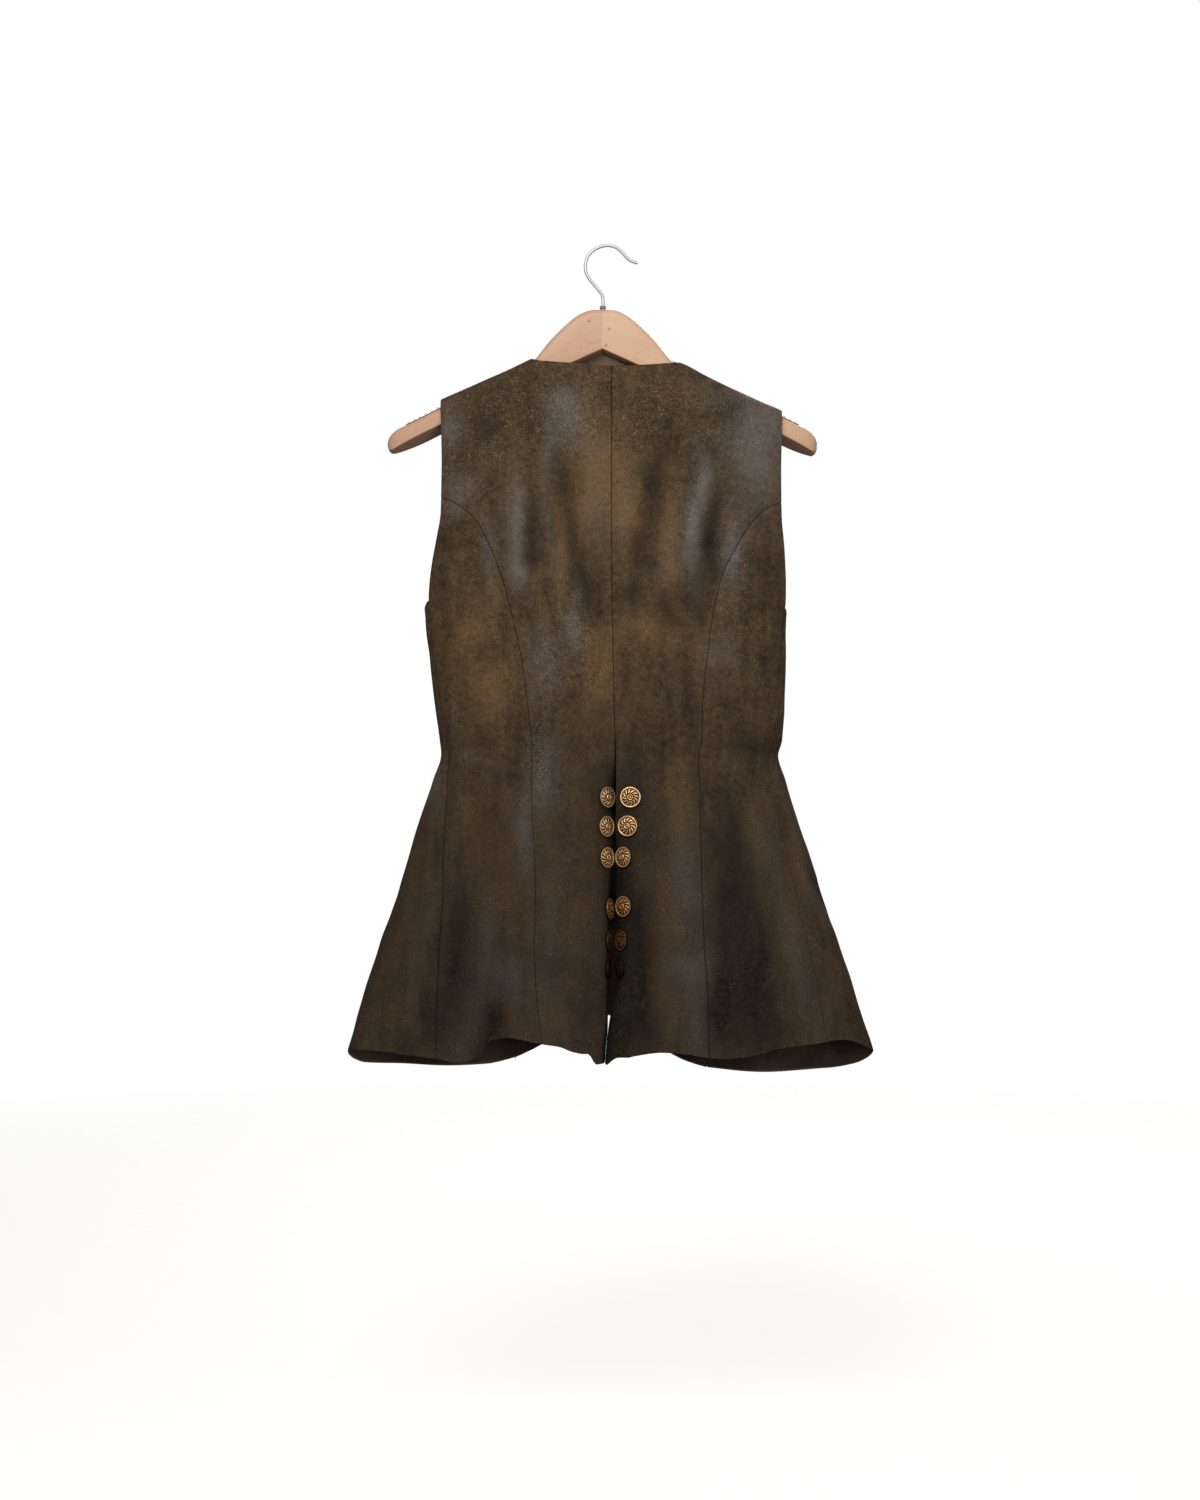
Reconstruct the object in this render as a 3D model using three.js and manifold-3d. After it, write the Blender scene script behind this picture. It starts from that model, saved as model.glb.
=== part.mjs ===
// A fitted leather vest on a wooden hanger: millimetres, +Z up, origin at the inner top of the hanger's hook.
// The garment's back faces -Y and its front +Y; the wearer's left is at -X.

import * as THREE from "three";
import { mergeVertices } from "three/addons/utils/BufferGeometryUtils.js";
import Module from "manifold-3d";

const wasm = await Module();
wasm.setup();

// Driving sizes
const WALL = 2.0; // leather
const SEAM_GAP = 0.46; // between two panels sewn together
const SHOULDER_GAP = 0.6; // the same over the hanger, where the walls turn most
const SECTION_POWER = 2.3; // of the superellipse that a level section follows
const SHOULDER_ROUND = 13; // height of the turn of the leather over the arm of the hanger
const ARM_SWEEP = 0.00089; // forward bow of the hanger's arms, times the distance squared
const HANGER_MIDDLE = -5.3;
const FRONT_MIDDLE = 4;
const VENT_STRIP = 42; // width of leather that rolls inwards along the vent
const VENT_BUTTON_IN = 15; // from the vent's free edge to a button's centre
const FRONT_LAP = 14; // reach of each front past the middle
const LAP_STEP = 3.8; // how far the left front lies under the right one
const LAP_SLOPE = { from: 34, to: 18 }; // from the middle, where the left front goes under

const degrees = Math.PI / 180;
const clamp01 = (value) => Math.min(1, Math.max(0, value));
const mix = (a, b, t) => a + (b - a) * t;
const ease = (from, to, value) => {
  const t = clamp01((value - from) / (to - from));
  return t * t * (3 - 2 * t);
};

// Value of one named column at a place along a table's first column, as a smooth curve through its rows.
function tableReader(columns, rows) {
  const order = rows[0][0] < rows[rows.length - 1][0] ? rows : [...rows].reverse();
  const slope = (i, c) => (order[i + 1][c] - order[i][c]) / (order[i + 1][0] - order[i][0]);
  const tangent = (i, c) => {
    if (i === 0) return slope(0, c);
    if (i === order.length - 1) return slope(i - 1, c);
    const before = slope(i - 1, c);
    const after = slope(i, c);
    return before * after <= 0 ? 0 : (2 * before * after) / (before + after);
  };
  return (column, at) => {
    const c = columns.indexOf(column);
    const x = Math.min(order[order.length - 1][0], Math.max(order[0][0], at));
    let i = 0;
    while (i < order.length - 2 && order[i + 1][0] < x) i += 1;
    const span = order[i + 1][0] - order[i][0];
    const t = (x - order[i][0]) / span;
    const rise = order[i + 1][c] - order[i][c];
    const a = tangent(i, c) * span;
    const b = tangent(i + 1, c) * span;
    return order[i][c] + a * t + (3 * rise - 2 * a - b) * t * t + (a + b - 2 * rise) * t * t * t;
  };
}

// Level sections of the body, top to hem: its middle and half width, the Y of its two sides, and its depth
// behind and before them.
const section = tableReader(
  ["z", "middle", "half", "side", "back", "front"],
  [
    [-60, 4, 204, 25, 13, 13],
    [-110, 4, 204, 25, 14, 14],
    [-155, 4, 203, 25, 23, 26],
    [-200, 4, 201, 25, 35, 44],
    [-260, 4, 197, 25, 47, 60],
    [-310, 3, 194, 25, 52, 67],
    [-364, -1, 190.5, 25, 54, 68],
    [-384.5, -1.8, 188.6, 25, 54, 67],
    [-426, 0.4, 185.9, 25, 53, 62],
    [-468, 2.4, 182.8, 24, 50, 55],
    [-510, 3.7, 178.3, 23, 47, 50],
    [-526, 2.2, 175.7, 23, 46, 49],
    [-552, 1.7, 184.0, 24, 47, 49],
    [-594, 0.7, 197.7, 25, 50, 51],
    [-635.5, 1.6, 211.3, 26, 53, 54],
    [-677.4, 2.2, 224.3, 27, 56, 56],
    [-719, 1.7, 238.5, 28, 59, 57],
    [-761, 2.7, 253.1, 30, 62, 57],
    [-803, 2.7, 265.6, 32, 64, 56],
    [-833, 3.3, 275.2, 34, 66, 54],
    [-870, 4, 286, 36, 68, 52],
  ],
);

// Height of the shoulder line, from the left tip over the hanger to the right tip.
const shoulderLine = tableReader(
  ["x", "z"],
  [
    [-174.6, -154.2],
    [-168.9, -152],
    [-147.5, -143.8],
    [-126.5, -135.3],
    [-105.4, -126.8],
    [-84.5, -117.4],
    [-79.4, -115],
    [-5, -84],
    [76.3, -119],
    [81.5, -121],
    [102.2, -131.6],
    [123.4, -141.3],
    [144.6, -150],
    [165.9, -158.5],
    [176.7, -162.2],
    [183.2, -165],
  ],
);

// Soft folds of the flared skirt: where each starts and where it meets the hem, its half width there, and
// how far it stands out (a ridge) or in (a trough).
const FOLD_HEM_Z = -840;
const foldTable = (rows) =>
  rows.map(([startX, startZ, hemX, halfWidth, out]) => ({ startX, startZ, hemX, halfWidth, out }));
const BACK_FOLDS = foldTable([
  [-118, -620, -154, 22, 9],
  [-106, -640, -121, 14, -10],
  [-58, -600, -60, 30, 4],
  [-190, -640, -214, 24, -5],
  [97, -560, 96, 34, 7],
  [130, -600, 166, 26, -11],
  [182, -600, 224, 22, 6],
]);
const FRONT_FOLDS = foldTable([
  [-80, -560, -96, 34, 7],
  [-130, -600, -165, 30, -10],
  [-182, -600, -222, 24, 5],
  [88, -560, 104, 34, 7],
  [138, -600, 170, 30, -10],
  [186, -600, 226, 24, 5],
]);
function foldHeight(folds, x, z) {
  let out = 0;
  for (const fold of folds) {
    const down = clamp01((fold.startZ - z) / (fold.startZ - FOLD_HEM_Z));
    const away = (x - mix(fold.startX, fold.hemX, down)) / fold.halfWidth;
    out += fold.out * down * Math.sqrt(down) * Math.exp(-away * away);
  }
  return out;
}

// Point of the outer face at a turn round the body (0 at the middle of the back, 90 at the right side,
// 180 at the middle of the front) and a height.
const armY = (x) => ARM_SWEEP * (x - HANGER_MIDDLE) ** 2;
const signedPower = (value, power) => Math.sign(value) * Math.abs(value) ** power;
function bodyPoint(turn, z) {
  const across = signedPower(Math.sin(turn * degrees), 2 / SECTION_POWER);
  const deep = signedPower(Math.cos(turn * degrees), 2 / SECTION_POWER);
  const x = section("middle", z) + section("half", z) * across;
  const below = clamp01((shoulderLine("z", x) - z) / SHOULDER_ROUND);
  const round = Math.sqrt(1 - (1 - below) ** 2);
  const middleY = mix(section("side", z), armY(x), ease(-270, -150, z));
  const [depth, folds, out] = deep >= 0 ? ["back", BACK_FOLDS, -1] : ["front", FRONT_FOLDS, 1];
  const fold = foldHeight(folds, x, z) * Math.min(1, 2 * Math.abs(deep));
  return new THREE.Vector3(x, middleY - section(depth, z) * deep * round + out * fold, z);
}
function bodyNormal(turn, z) {
  const step = 0.25;
  const drop = 0.04;
  const along = bodyPoint(turn + step, z).sub(bodyPoint(turn - step, z));
  const up = bodyPoint(turn, z).sub(bodyPoint(turn, z - drop));
  return along.cross(up).normalize();
}

// Turn round the body for a place measured across it, on its back or its front half.
function turnAt(x, z, half = "back") {
  const across = Math.max(-1, Math.min(1, (x - section("middle", z)) / section("half", z)));
  const turn = Math.asin(signedPower(across, SECTION_POWER / 2)) / degrees;
  if (half === "back") return turn;
  return turn >= 0 ? 180 - turn : -180 - turn;
}

// Seam and edge lines, each a short list of places across and heights.
const onBack = (rows) => rows.map(([x, z]) => ({ turn: turnAt(x, z), z }));
const onFront = (rows) => rows.map(([x, z]) => ({ turn: turnAt(x, z, "front"), z }));
const mirrorFront = (rows) => rows.map(([x, z]) => [2 * FRONT_MIDDLE - x, z]);
const asCurve = (points) => {
  const curve = new THREE.CatmullRomCurve3(
    points.map((p) => new THREE.Vector3(p.turn, p.z, 0)),
    false,
    "centripetal",
  );
  curve.arcLengthDivisions = 400;
  return curve;
};
// The line's points at the given shares of its length.
const sampled = (points, shares) => {
  const curve = asCurve(points);
  return shares.map((share) => {
    const p = curve.getPointAt(share);
    return { turn: p.x, z: p.y };
  });
};
const even = (count) => Array.from({ length: count + 1 }, (_, i) => i / count);

const BACK_PRINCESS = {
  left: onBack([
    [-172.7, -259.3], [-161.3, -263.5], [-150.4, -270.1], [-139.3, -280.3], [-129.9, -292.9],
    [-123, -307], [-114.1, -328.1], [-104.9, -355.6], [-95.7, -392.2], [-86.6, -438], [-82, -474.7],
    [-77.6, -529.7], [-75, -623], [-74.8, -733], [-72.4, -777], [-67.6, -820.6],
  ]),
  right: onBack([
    [180.4, -264], [165, -270.9], [152.4, -281.9], [143, -294.4], [133.6, -310.1],
    [122.6, -330], [114.6, -353], [107.7, -386], [102.1, -428.8], [97.6, -474.7],
    [94.9, -520.5], [95, -560], [96.7, -652.9], [98.9, -721.7], [103.2, -788.4], [104.1, -835],
  ]),
};
const SIDE_SEAM = {
  left: onBack([
    [-186, -364.6], [-180.3, -427], [-175.1, -468.5], [-168.4, -505], [-165.2, -527.8],
    [-166, -560], [-169.9, -655.6], [-174.1, -738.8], [-176.6, -837.5],
  ]),
  right: onBack([
    [185.4, -372], [181.5, -420], [175.2, -464.4], [168.9, -504.9], [167, -525.7],
    [169.4, -550], [189.7, -645.2], [208.4, -728.4], [228, -827],
  ]),
};
const FRONT_PRINCESS_LEFT = [
  [-168, -262], [-156, -269], [-142, -284], [-130, -304], [-118, -336], [-108, -376],
  [-99, -425], [-90, -480], [-85, -525], [-86, -600], [-91, -700], [-96, -790], [-99, -853],
];
const FRONT_PRINCESS = {
  left: onFront(FRONT_PRINCESS_LEFT),
  right: onFront(mirrorFront(FRONT_PRINCESS_LEFT).map(([x, z]) => [x, z - 3])),
};
const ARMHOLE_BACK = {
  left: onBack([[-174.4, -154.2], [-173.2, -185], [-172.3, -220], [-172.7, -259.3]]),
  right: onBack([[182.8, -165], [181.6, -195], [180.5, -228], [180.4, -264]]),
};
const ARMHOLE_UNDER = {
  left: onBack([
    [-172.7, -259.3], [-173.6, -280], [-177.5, -301], [-182, -324], [-184.6, -343], [-186, -364.6],
  ]),
  right: onBack([
    [180.4, -264], [181, -284], [182.8, -302], [184.6, -326], [185.6, -346], [185.4, -372],
  ]),
};
const ARMHOLE_FRONT_LEFT = [[-174.4, -154.2], [-170, -185], [-167.4, -222], [-168, -262]];
const ARMHOLE_FRONT_RIGHT = [[182.8, -165], [178, -195], [175.6, -228], [176, -265]];

// Hems: heights at places across, from the left side of each half to its right.
const backHem = tableReader(
  ["x", "z"],
  [
    [-272, -833.5], [-246, -832], [-208, -835.5], [-170.6, -838], [-151.7, -840.1], [-136, -837.2],
    [-127, -829], [-122, -819.5], [-104, -815.5], [-68.2, -821], [-49.8, -823.7], [-36, -829],
    [-13.4, -833.5], [8, -838], [28, -833.4], [56.5, -829.8], [83.9, -831.7], [103.5, -834.9],
    [123.1, -836.6], [148.5, -835.2], [177.9, -828.8], [207.3, -824], [246.6, -820], [262, -824],
    [279, -834],
  ],
);
const frontHem = tableReader(
  ["x", "z"],
  [
    [-276, -836], [-266, -846], [-253, -851.5], [-217.4, -854.7], [-177.8, -856.3], [-128.6, -856.6],
    [-102.9, -852], [-82.8, -843.4], [-64, -833], [-40, -823.5], [-16, -813.5], [2, -804.5], [20, -788],
  ],
);
const frontHemRight = tableReader(
  ["x", "z"],
  [
    [-12, -788], [2, -803.5], [16, -816], [36, -829], [63.4, -843.5], [83.9, -854.6], [108.4, -861.7],
    [145.2, -863.8], [185.8, -862.7], [227.1, -859.7], [257.8, -852.6], [272, -845.5], [281, -837],
  ],
);
const backNeck = tableReader(
  ["x", "z"],
  [[-79.4, -115], [-69.6, -118.6], [-49, -120.8], [-32.5, -122.2], [4.6, -124.7], [33.5, -123.7],
    [50, -122.7], [66.4, -120.8], [76.3, -119]],
);
const frontNeck = tableReader(
  ["x", "z"],
  [[-79.4, -115], [-60, -112], [-30, -108], [0, -106.5], [30, -109], [58, -114.5], [76.3, -119]],
);

// The vent and the middle seam above it: where each panel's edge is seen, and how far that edge has
// turned in, in degrees.
const vent = tableReader(
  ["z", "leftX", "leftTurn", "rightX", "rightTurn"],
  [
    [-100, 4, 0, 4, 0],
    [-300, 4.1, 0, 4.1, 0],
    [-469, 6.6, 0, 6.6, 0],
    [-500, 7.4, 0, 7.4, 0],
    [-528, 8, 14, 8.3, 4],
    [-569, 7, 62, 8.6, 8],
    [-599, 6.2, 64, 7.9, 31],
    [-631, 5.2, 71, 9.3, 63],
    [-683, 2.1, 99, 8.6, 62],
    [-716, 1, 106, 11.2, 85],
    [-745, 0.4, 112, 11.8, 98],
    [-795, 0, 112, 4.4, 105],
    [-846, -3.6, 95, -0.3, 92],
  ],
);
// The vent's corners hang lower than the hem beside them.
const VENT_CORNER_DROP = { left: 13, right: 8 };
const CORNER_START = 0.8; // share of the panel's height where the drop begins
const CORNER_INNER = 5; // from the free edge, the full drop
const CORNER_OUTER = 30; // from the free edge, where the drop ends
const NECK_SETTLE = 0.12; // share of the height over which rows follow the neckline
const STRIP_STEPS = 28;
const STRIP_COLUMNS = [42, 33, 25, 18, 12, 6, 0]; // distances from the free edge

// Course of the rolled strip at one height: its place across and depth, at a distance from its free edge.
function stripCourse(side, z) {
  const sign = side === "left" ? 1 : -1;
  const edgeTurn = vent(`${side}Turn`, z) * degrees;
  const turnIn = (t) => edgeTurn * (1 - ease(0, VENT_STRIP, t));
  const step = VENT_STRIP / STRIP_STEPS;
  const across = [0];
  const inward = [0];
  for (let i = 0; i < STRIP_STEPS; i += 1) {
    const turn = turnIn((i + 0.5) * step);
    across.push(across[i] + Math.cos(turn) * step);
    inward.push(inward[i] + Math.sin(turn) * step);
  }
  const nearest = Math.min(...across);
  const edgeX = vent(`${side}X`, z);
  const read = (list, t) => {
    const i = Math.min(STRIP_STEPS - 1, Math.floor(t / step));
    return mix(list[i], list[i + 1], t / step - i);
  };
  return (t) => ({
    x: edgeX - sign * (read(across, t) - nearest),
    depth: inward[STRIP_STEPS] - read(inward, t),
    turn: turnIn(t),
  });
}
const stripStart = (side, z) => stripCourse(side, z)(VENT_STRIP).x;

// A patch of the body between four lines that meet at its corners, as rows of turns and heights.
function patch(left, right, top, bottom, down, over) {
  return left.map((l, i) =>
    top.map((t, j) => {
      const corners = (row, key) => mix(row[0][key], row[row.length - 1][key], over[j]);
      const value = (key) =>
        mix(l[key], right[i][key], over[j]) +
        mix(t[key], bottom[j][key], down[i]) -
        mix(corners(top, key), corners(bottom, key), down[i]);
      return { turn: value("turn"), z: value("z") };
    }),
  );
}
const sharesOf = (points, key) => {
  const first = points[0][key];
  const last = points[points.length - 1][key];
  return points.map((p) => (p[key] - first) / (last - first));
};
// The patch's places on the body, with the leather's outward direction, some of them sunk below it.
const onBody = (rows, sink = () => 0) =>
  rows.map((row) =>
    row.map(({ turn, z }) => {
      const normal = bodyNormal(turn, z);
      const point = bodyPoint(turn, z);
      return { point: point.addScaledVector(normal, -sink(point)), normal };
    }),
  );

// One sheet of leather from a grid of outer points: edges named as seams are drawn back by half the gap,
// and the wall goes inwards by the leather's thickness.
function sheetGeometry(grid, seams) {
  const rows = grid.length;
  const columns = grid[0].length;
  const outer = grid.map((row) => row.map((cell) => cell.point.clone()));
  const pull = (i, j, towardI, towardJ, gap) => {
    const away = grid[towardI][towardJ].point.clone().sub(grid[i][j].point).normalize();
    outer[i][j].addScaledVector(away, gap / 2);
  };
  for (let i = 0; i < rows; i += 1) {
    if (seams.left) pull(i, 0, i, 1, seams.left);
    if (seams.right) pull(i, columns - 1, i, columns - 2, seams.right);
  }
  for (let j = 0; j < columns; j += 1) if (seams.top && seams.top(j)) pull(0, j, 1, j, SHOULDER_GAP);
  const positions = [];
  const put = (p) => positions.push(p.x, p.y, p.z);
  outer.forEach((row) => row.forEach(put));
  outer.forEach((row, i) => row.forEach((p, j) => put(p.clone().addScaledVector(grid[i][j].normal, -WALL))));
  const at = (i, j, inner) => i * columns + j + (inner ? rows * columns : 0);
  const faces = [];
  const quad = (a, b, c, d) => faces.push(a, b, c, a, c, d);
  for (let i = 0; i < rows - 1; i += 1)
    for (let j = 0; j < columns - 1; j += 1) {
      quad(at(i, j), at(i + 1, j), at(i + 1, j + 1), at(i, j + 1));
      quad(at(i, j, 1), at(i, j + 1, 1), at(i + 1, j + 1, 1), at(i + 1, j, 1));
    }
  for (let i = 0; i < rows - 1; i += 1) {
    quad(at(i, 0), at(i, 0, 1), at(i + 1, 0, 1), at(i + 1, 0));
    quad(at(i, columns - 1), at(i + 1, columns - 1), at(i + 1, columns - 1, 1), at(i, columns - 1, 1));
  }
  for (let j = 0; j < columns - 1; j += 1) {
    quad(at(0, j), at(0, j + 1), at(0, j + 1, 1), at(0, j, 1));
    quad(at(rows - 1, j), at(rows - 1, j, 1), at(rows - 1, j + 1, 1), at(rows - 1, j + 1));
  }
  return facingOut(positions, faces);
}

// A closed geometry from points and faces, turned so that its faces point out.
function facingOut(positions, faces) {
  let volume = 0;
  const corner = (k) => new THREE.Vector3().fromArray(positions, 3 * k);
  for (let f = 0; f < faces.length; f += 3)
    volume += corner(faces[f]).dot(corner(faces[f + 1]).cross(corner(faces[f + 2])));
  const geometry = new THREE.BufferGeometry();
  geometry.setAttribute("position", new THREE.Float32BufferAttribute(positions, 3));
  if (volume < 0) faces.reverse();
  geometry.setIndex(faces);
  geometry.computeVertexNormals();
  return geometry;
}

// Rows of a panel that starts at the shoulder: close together round the turn, then even.
const TURN_ROWS = [0, 22, 45, 68, 90].map((angle) => SHOULDER_ROUND * (1 - Math.cos(angle * degrees)));
const ARMHOLE_ROWS = 6;
const PRINCESS_ROWS = 16;
const SHOULDER_COLUMNS = 6;
const NECK_SHARES = [0.03, 0.08, 0.16, 0.3, 0.6, 1]; // close together where the leather turns off the hanger

function shoulderPanelEdge(armhole, princess) {
  const straight = sampled(armhole, even(40));
  const topZ = straight[0].z;
  const lastZ = straight[straight.length - 1].z;
  const heights = [...TURN_ROWS.map((drop) => topZ - drop)];
  const below = topZ - SHOULDER_ROUND;
  for (let i = 1; i <= ARMHOLE_ROWS; i += 1) heights.push(mix(below, lastZ, i / ARMHOLE_ROWS));
  const upper = heights.slice(0, -1).map((z) => {
    const after = straight.findIndex((p, i) => i > 0 && p.z <= z + 1e-6);
    const before = straight[after - 1];
    const t = (before.z - z) / (before.z - straight[after].z);
    return { turn: mix(before.turn, straight[after].turn, t), z };
  });
  return [...upper, ...sampled(princess, even(PRINCESS_ROWS))];
}

// Places across a top edge: along the shoulder from its tip to the neck point, then along the neck.
function topPlaces(tipX, neckX, endX) {
  const shoulder = even(SHOULDER_COLUMNS).map((t) => mix(tipX, neckX, t));
  const neck = NECK_SHARES.map((t) => mix(neckX, endX, t));
  return [...shoulder, ...neck];
}
const TIP = { left: -174.4, right: 182.8 };
const NECK_POINT = { left: -79.4, right: 76.3 };

// Back panel, from the armhole and the princess seam to the middle seam and the rolled edge of the vent.
function backPanelGrid(side) {
  const outerEdge = shoulderPanelEdge(ARMHOLE_BACK[side], BACK_PRINCESS[side]);
  const down = sharesOf(outerEdge, "z");
  const topX = topPlaces(TIP[side], NECK_POINT[side], stripStart(side, -122));
  const top = topX.map((x, j) => {
    const z = j <= SHOULDER_COLUMNS ? shoulderLine("z", x) : backNeck("z", x);
    return { turn: turnAt(x, z), z };
  });
  const over = sharesOf(top, "turn");
  const hemStartX = stripStart(side, -836);
  const hemEnd = { turn: turnAt(hemStartX, -833), z: backHem("z", hemStartX) };
  const hemFirst = outerEdge[outerEdge.length - 1];
  const bottom = over.map((t) => {
    const turn = mix(hemFirst.turn, hemEnd.turn, t);
    const x = bodyPoint(turn, -833).x;
    return { turn, z: t === 0 ? hemFirst.z : backHem("z", x) };
  });
  const topZ = top[top.length - 1].z;
  const bottomZ = bottom[bottom.length - 1].z;
  const inner = down.map((t) => {
    const z = mix(topZ, bottomZ, t);
    return { turn: turnAt(stripStart(side, z), z), z };
  });
  const grid = onBody(patch(outerEdge, inner, top, bottom, down, over));
  const sign = side === "left" ? 1 : -1;
  return grid.map((row, i) => {
    const start = row[row.length - 1];
    const z = start.point.z;
    const course = stripCourse(side, z);
    const strip = STRIP_COLUMNS.slice(1).map((t) => {
      const { x, depth, turn } = course(t);
      const neckShare = 1 - ease(0, NECK_SETTLE, down[i]);
      const neckRise = (backNeck("z", x) - backNeck("z", start.point.x)) * neckShare;
      const hemShare = ease(CORNER_START, 1, down[i]) ** 2;
      const cornerDrop = VENT_CORNER_DROP[side] * (1 - ease(CORNER_INNER, CORNER_OUTER, t)) * hemShare;
      const point = new THREE.Vector3(x, start.point.y + depth, z + neckRise - cornerDrop);
      const normal = new THREE.Vector3(sign * Math.sin(turn), -Math.cos(turn), start.normal.z).normalize();
      return { point, normal };
    });
    return [...row, ...strip];
  });
}

// Side panel of the back, between the princess seam and the side seam, under the armhole.
const UNDER_COLUMNS = 6;
function backSideGrid(side) {
  const princess = sampled(BACK_PRINCESS[side], even(PRINCESS_ROWS));
  const seam = sampled(SIDE_SEAM[side], even(PRINCESS_ROWS));
  const under = sampled(ARMHOLE_UNDER[side], even(UNDER_COLUMNS));
  const hemA = princess[PRINCESS_ROWS];
  const hemB = seam[PRINCESS_ROWS];
  const hem = even(UNDER_COLUMNS).map((t) => {
    const turn = mix(hemA.turn, hemB.turn, t);
    const z = backHem("z", bodyPoint(turn, -833).x);
    return { turn, z: t === 0 ? hemA.z : t === 1 ? hemB.z : z };
  });
  return onBody(patch(princess, seam, under, hem, even(PRINCESS_ROWS), even(UNDER_COLUMNS)));
}

// Side panel of the front: from the side seam round the body's side to the front's princess seam.
const WRAP_COLUMNS = 9;
const ARMHOLE_LOW = { left: -372, right: -379 };
function frontSideGrid(side) {
  const seam = sampled(SIDE_SEAM[side], even(PRINCESS_ROWS));
  const princess = sampled(FRONT_PRINCESS[side], even(PRINCESS_ROWS));
  const sign = side === "left" ? -1 : 1;
  const last = princess[0];
  const lowest = { turn: sign * 90, z: ARMHOLE_LOW[side] };
  const rising = { turn: sign * 106, z: lowest.z + 14 };
  const upper = { turn: mix(rising.turn, last.turn, 0.6), z: mix(rising.z, last.z, 0.5) };
  const under = sampled([seam[0], lowest, rising, upper, last], even(WRAP_COLUMNS));
  const hemA = seam[PRINCESS_ROWS];
  const hemB = princess[PRINCESS_ROWS];
  const hem = even(WRAP_COLUMNS).map((t) => {
    const turn = mix(hemA.turn, hemB.turn, t);
    const x = bodyPoint(turn, -836).x;
    const front = side === "left" ? frontHem("z", x) : frontHemRight("z", x);
    const z = mix(backHem("z", x), front, ease(84, 97, Math.abs(turn)));
    return { turn, z: t === 0 ? hemA.z : t === 1 ? hemB.z : z };
  });
  return onBody(patch(seam, princess, under, hem, even(PRINCESS_ROWS), even(WRAP_COLUMNS)));
}

// Front panel: from its armhole and princess seam past the middle by the lap.
function frontPanelGrid(side) {
  const armhole = onFront(side === "left" ? ARMHOLE_FRONT_LEFT : ARMHOLE_FRONT_RIGHT);
  const outerEdge = shoulderPanelEdge(armhole, FRONT_PRINCESS[side]);
  const down = sharesOf(outerEdge, "z");
  const sign = side === "left" ? -1 : 1;
  const edgeX = FRONT_MIDDLE - sign * FRONT_LAP;
  const wrap = (turn) => (sign * turn < 0 ? turn + sign * 360 : turn);
  const topX = topPlaces(TIP[side], NECK_POINT[side], edgeX);
  const top = topX.map((x, j) => {
    const z = j <= SHOULDER_COLUMNS ? shoulderLine("z", x) : frontNeck("z", x);
    return { turn: wrap(turnAt(x, z, "front")), z };
  });
  const over = sharesOf(top, "turn");
  const hemAt = (x) => (side === "left" ? frontHem("z", x) : frontHemRight("z", x));
  const hemA = outerEdge[outerEdge.length - 1];
  const hemEndTurn = wrap(turnAt(edgeX, -800, "front"));
  const bottom = over.map((t) => {
    const turn = mix(hemA.turn, hemEndTurn, t);
    return { turn, z: t === 0 ? hemA.z : hemAt(bodyPoint(turn, -845).x) };
  });
  const topZ = top[top.length - 1].z;
  const bottomZ = bottom[bottom.length - 1].z;
  const inner = down.map((t) => {
    const z = mix(topZ, bottomZ, t);
    return { turn: wrap(turnAt(edgeX, z, "front")), z };
  });
  const step = side === "left" ? LAP_STEP : 0;
  const sink = (p) => step * ease(FRONT_MIDDLE - LAP_SLOPE.from, FRONT_MIDDLE - LAP_SLOPE.to, p.x);
  return onBody(patch(outerEdge, inner, top, bottom, down, over), sink);
}

const leather = new THREE.MeshStandardMaterial({ color: 0x4f3f30, roughness: 0.9, metalness: 0 });
const brass = new THREE.MeshStandardMaterial({ color: 0xa98149, roughness: 0.4, metalness: 1 });
const wood = new THREE.MeshStandardMaterial({ color: 0xd2ad92, roughness: 0.5, metalness: 0 });
const steel = new THREE.MeshStandardMaterial({ color: 0xc8c9cb, roughness: 0.2, metalness: 1 });
const rubber = new THREE.MeshStandardMaterial({ color: 0xe6ddd2, roughness: 0.7, metalness: 0 });

const vest = new THREE.Group();
const addMesh = (name, geometry, material) => {
  const mesh = new THREE.Mesh(geometry, material);
  mesh.name = name;
  vest.add(mesh);
  return mesh;
};

const alongShoulder = (j) => j <= SHOULDER_COLUMNS;
const bothSides = { left: SEAM_GAP, right: SEAM_GAP };
for (const side of ["left", "right"]) {
  const panels = {
    back: sheetGeometry(backPanelGrid(side), { ...bothSides, top: alongShoulder }),
    side_back: sheetGeometry(backSideGrid(side), bothSides),
    side_front: sheetGeometry(frontSideGrid(side), bothSides),
    front: sheetGeometry(frontPanelGrid(side), { left: SEAM_GAP, top: alongShoulder }),
  };
  for (const [panel, geometry] of Object.entries(panels)) addMesh(`${panel}_${side}`, geometry, leather);
}

// Buttons: a domed face with a rim and a boss in its middle, over a flat back.
const BUTTON_RADIUS = 11;
const BUTTON_STANDOFF = 0.5;
const BUTTON_PROFILE = [
  [0, 0], [9.8, 0], [BUTTON_RADIUS, 1], [10.5, 2.1], [9.2, 1.9], [3.6, 3.2], [2.6, 3.8], [0, 3.9],
];
const BUTTON_SEGMENTS = 14;
const buttonGeometry = new THREE.LatheGeometry(
  BUTTON_PROFILE.map(([radius, height]) => new THREE.Vector2(radius, height)),
  BUTTON_SEGMENTS,
);
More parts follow.
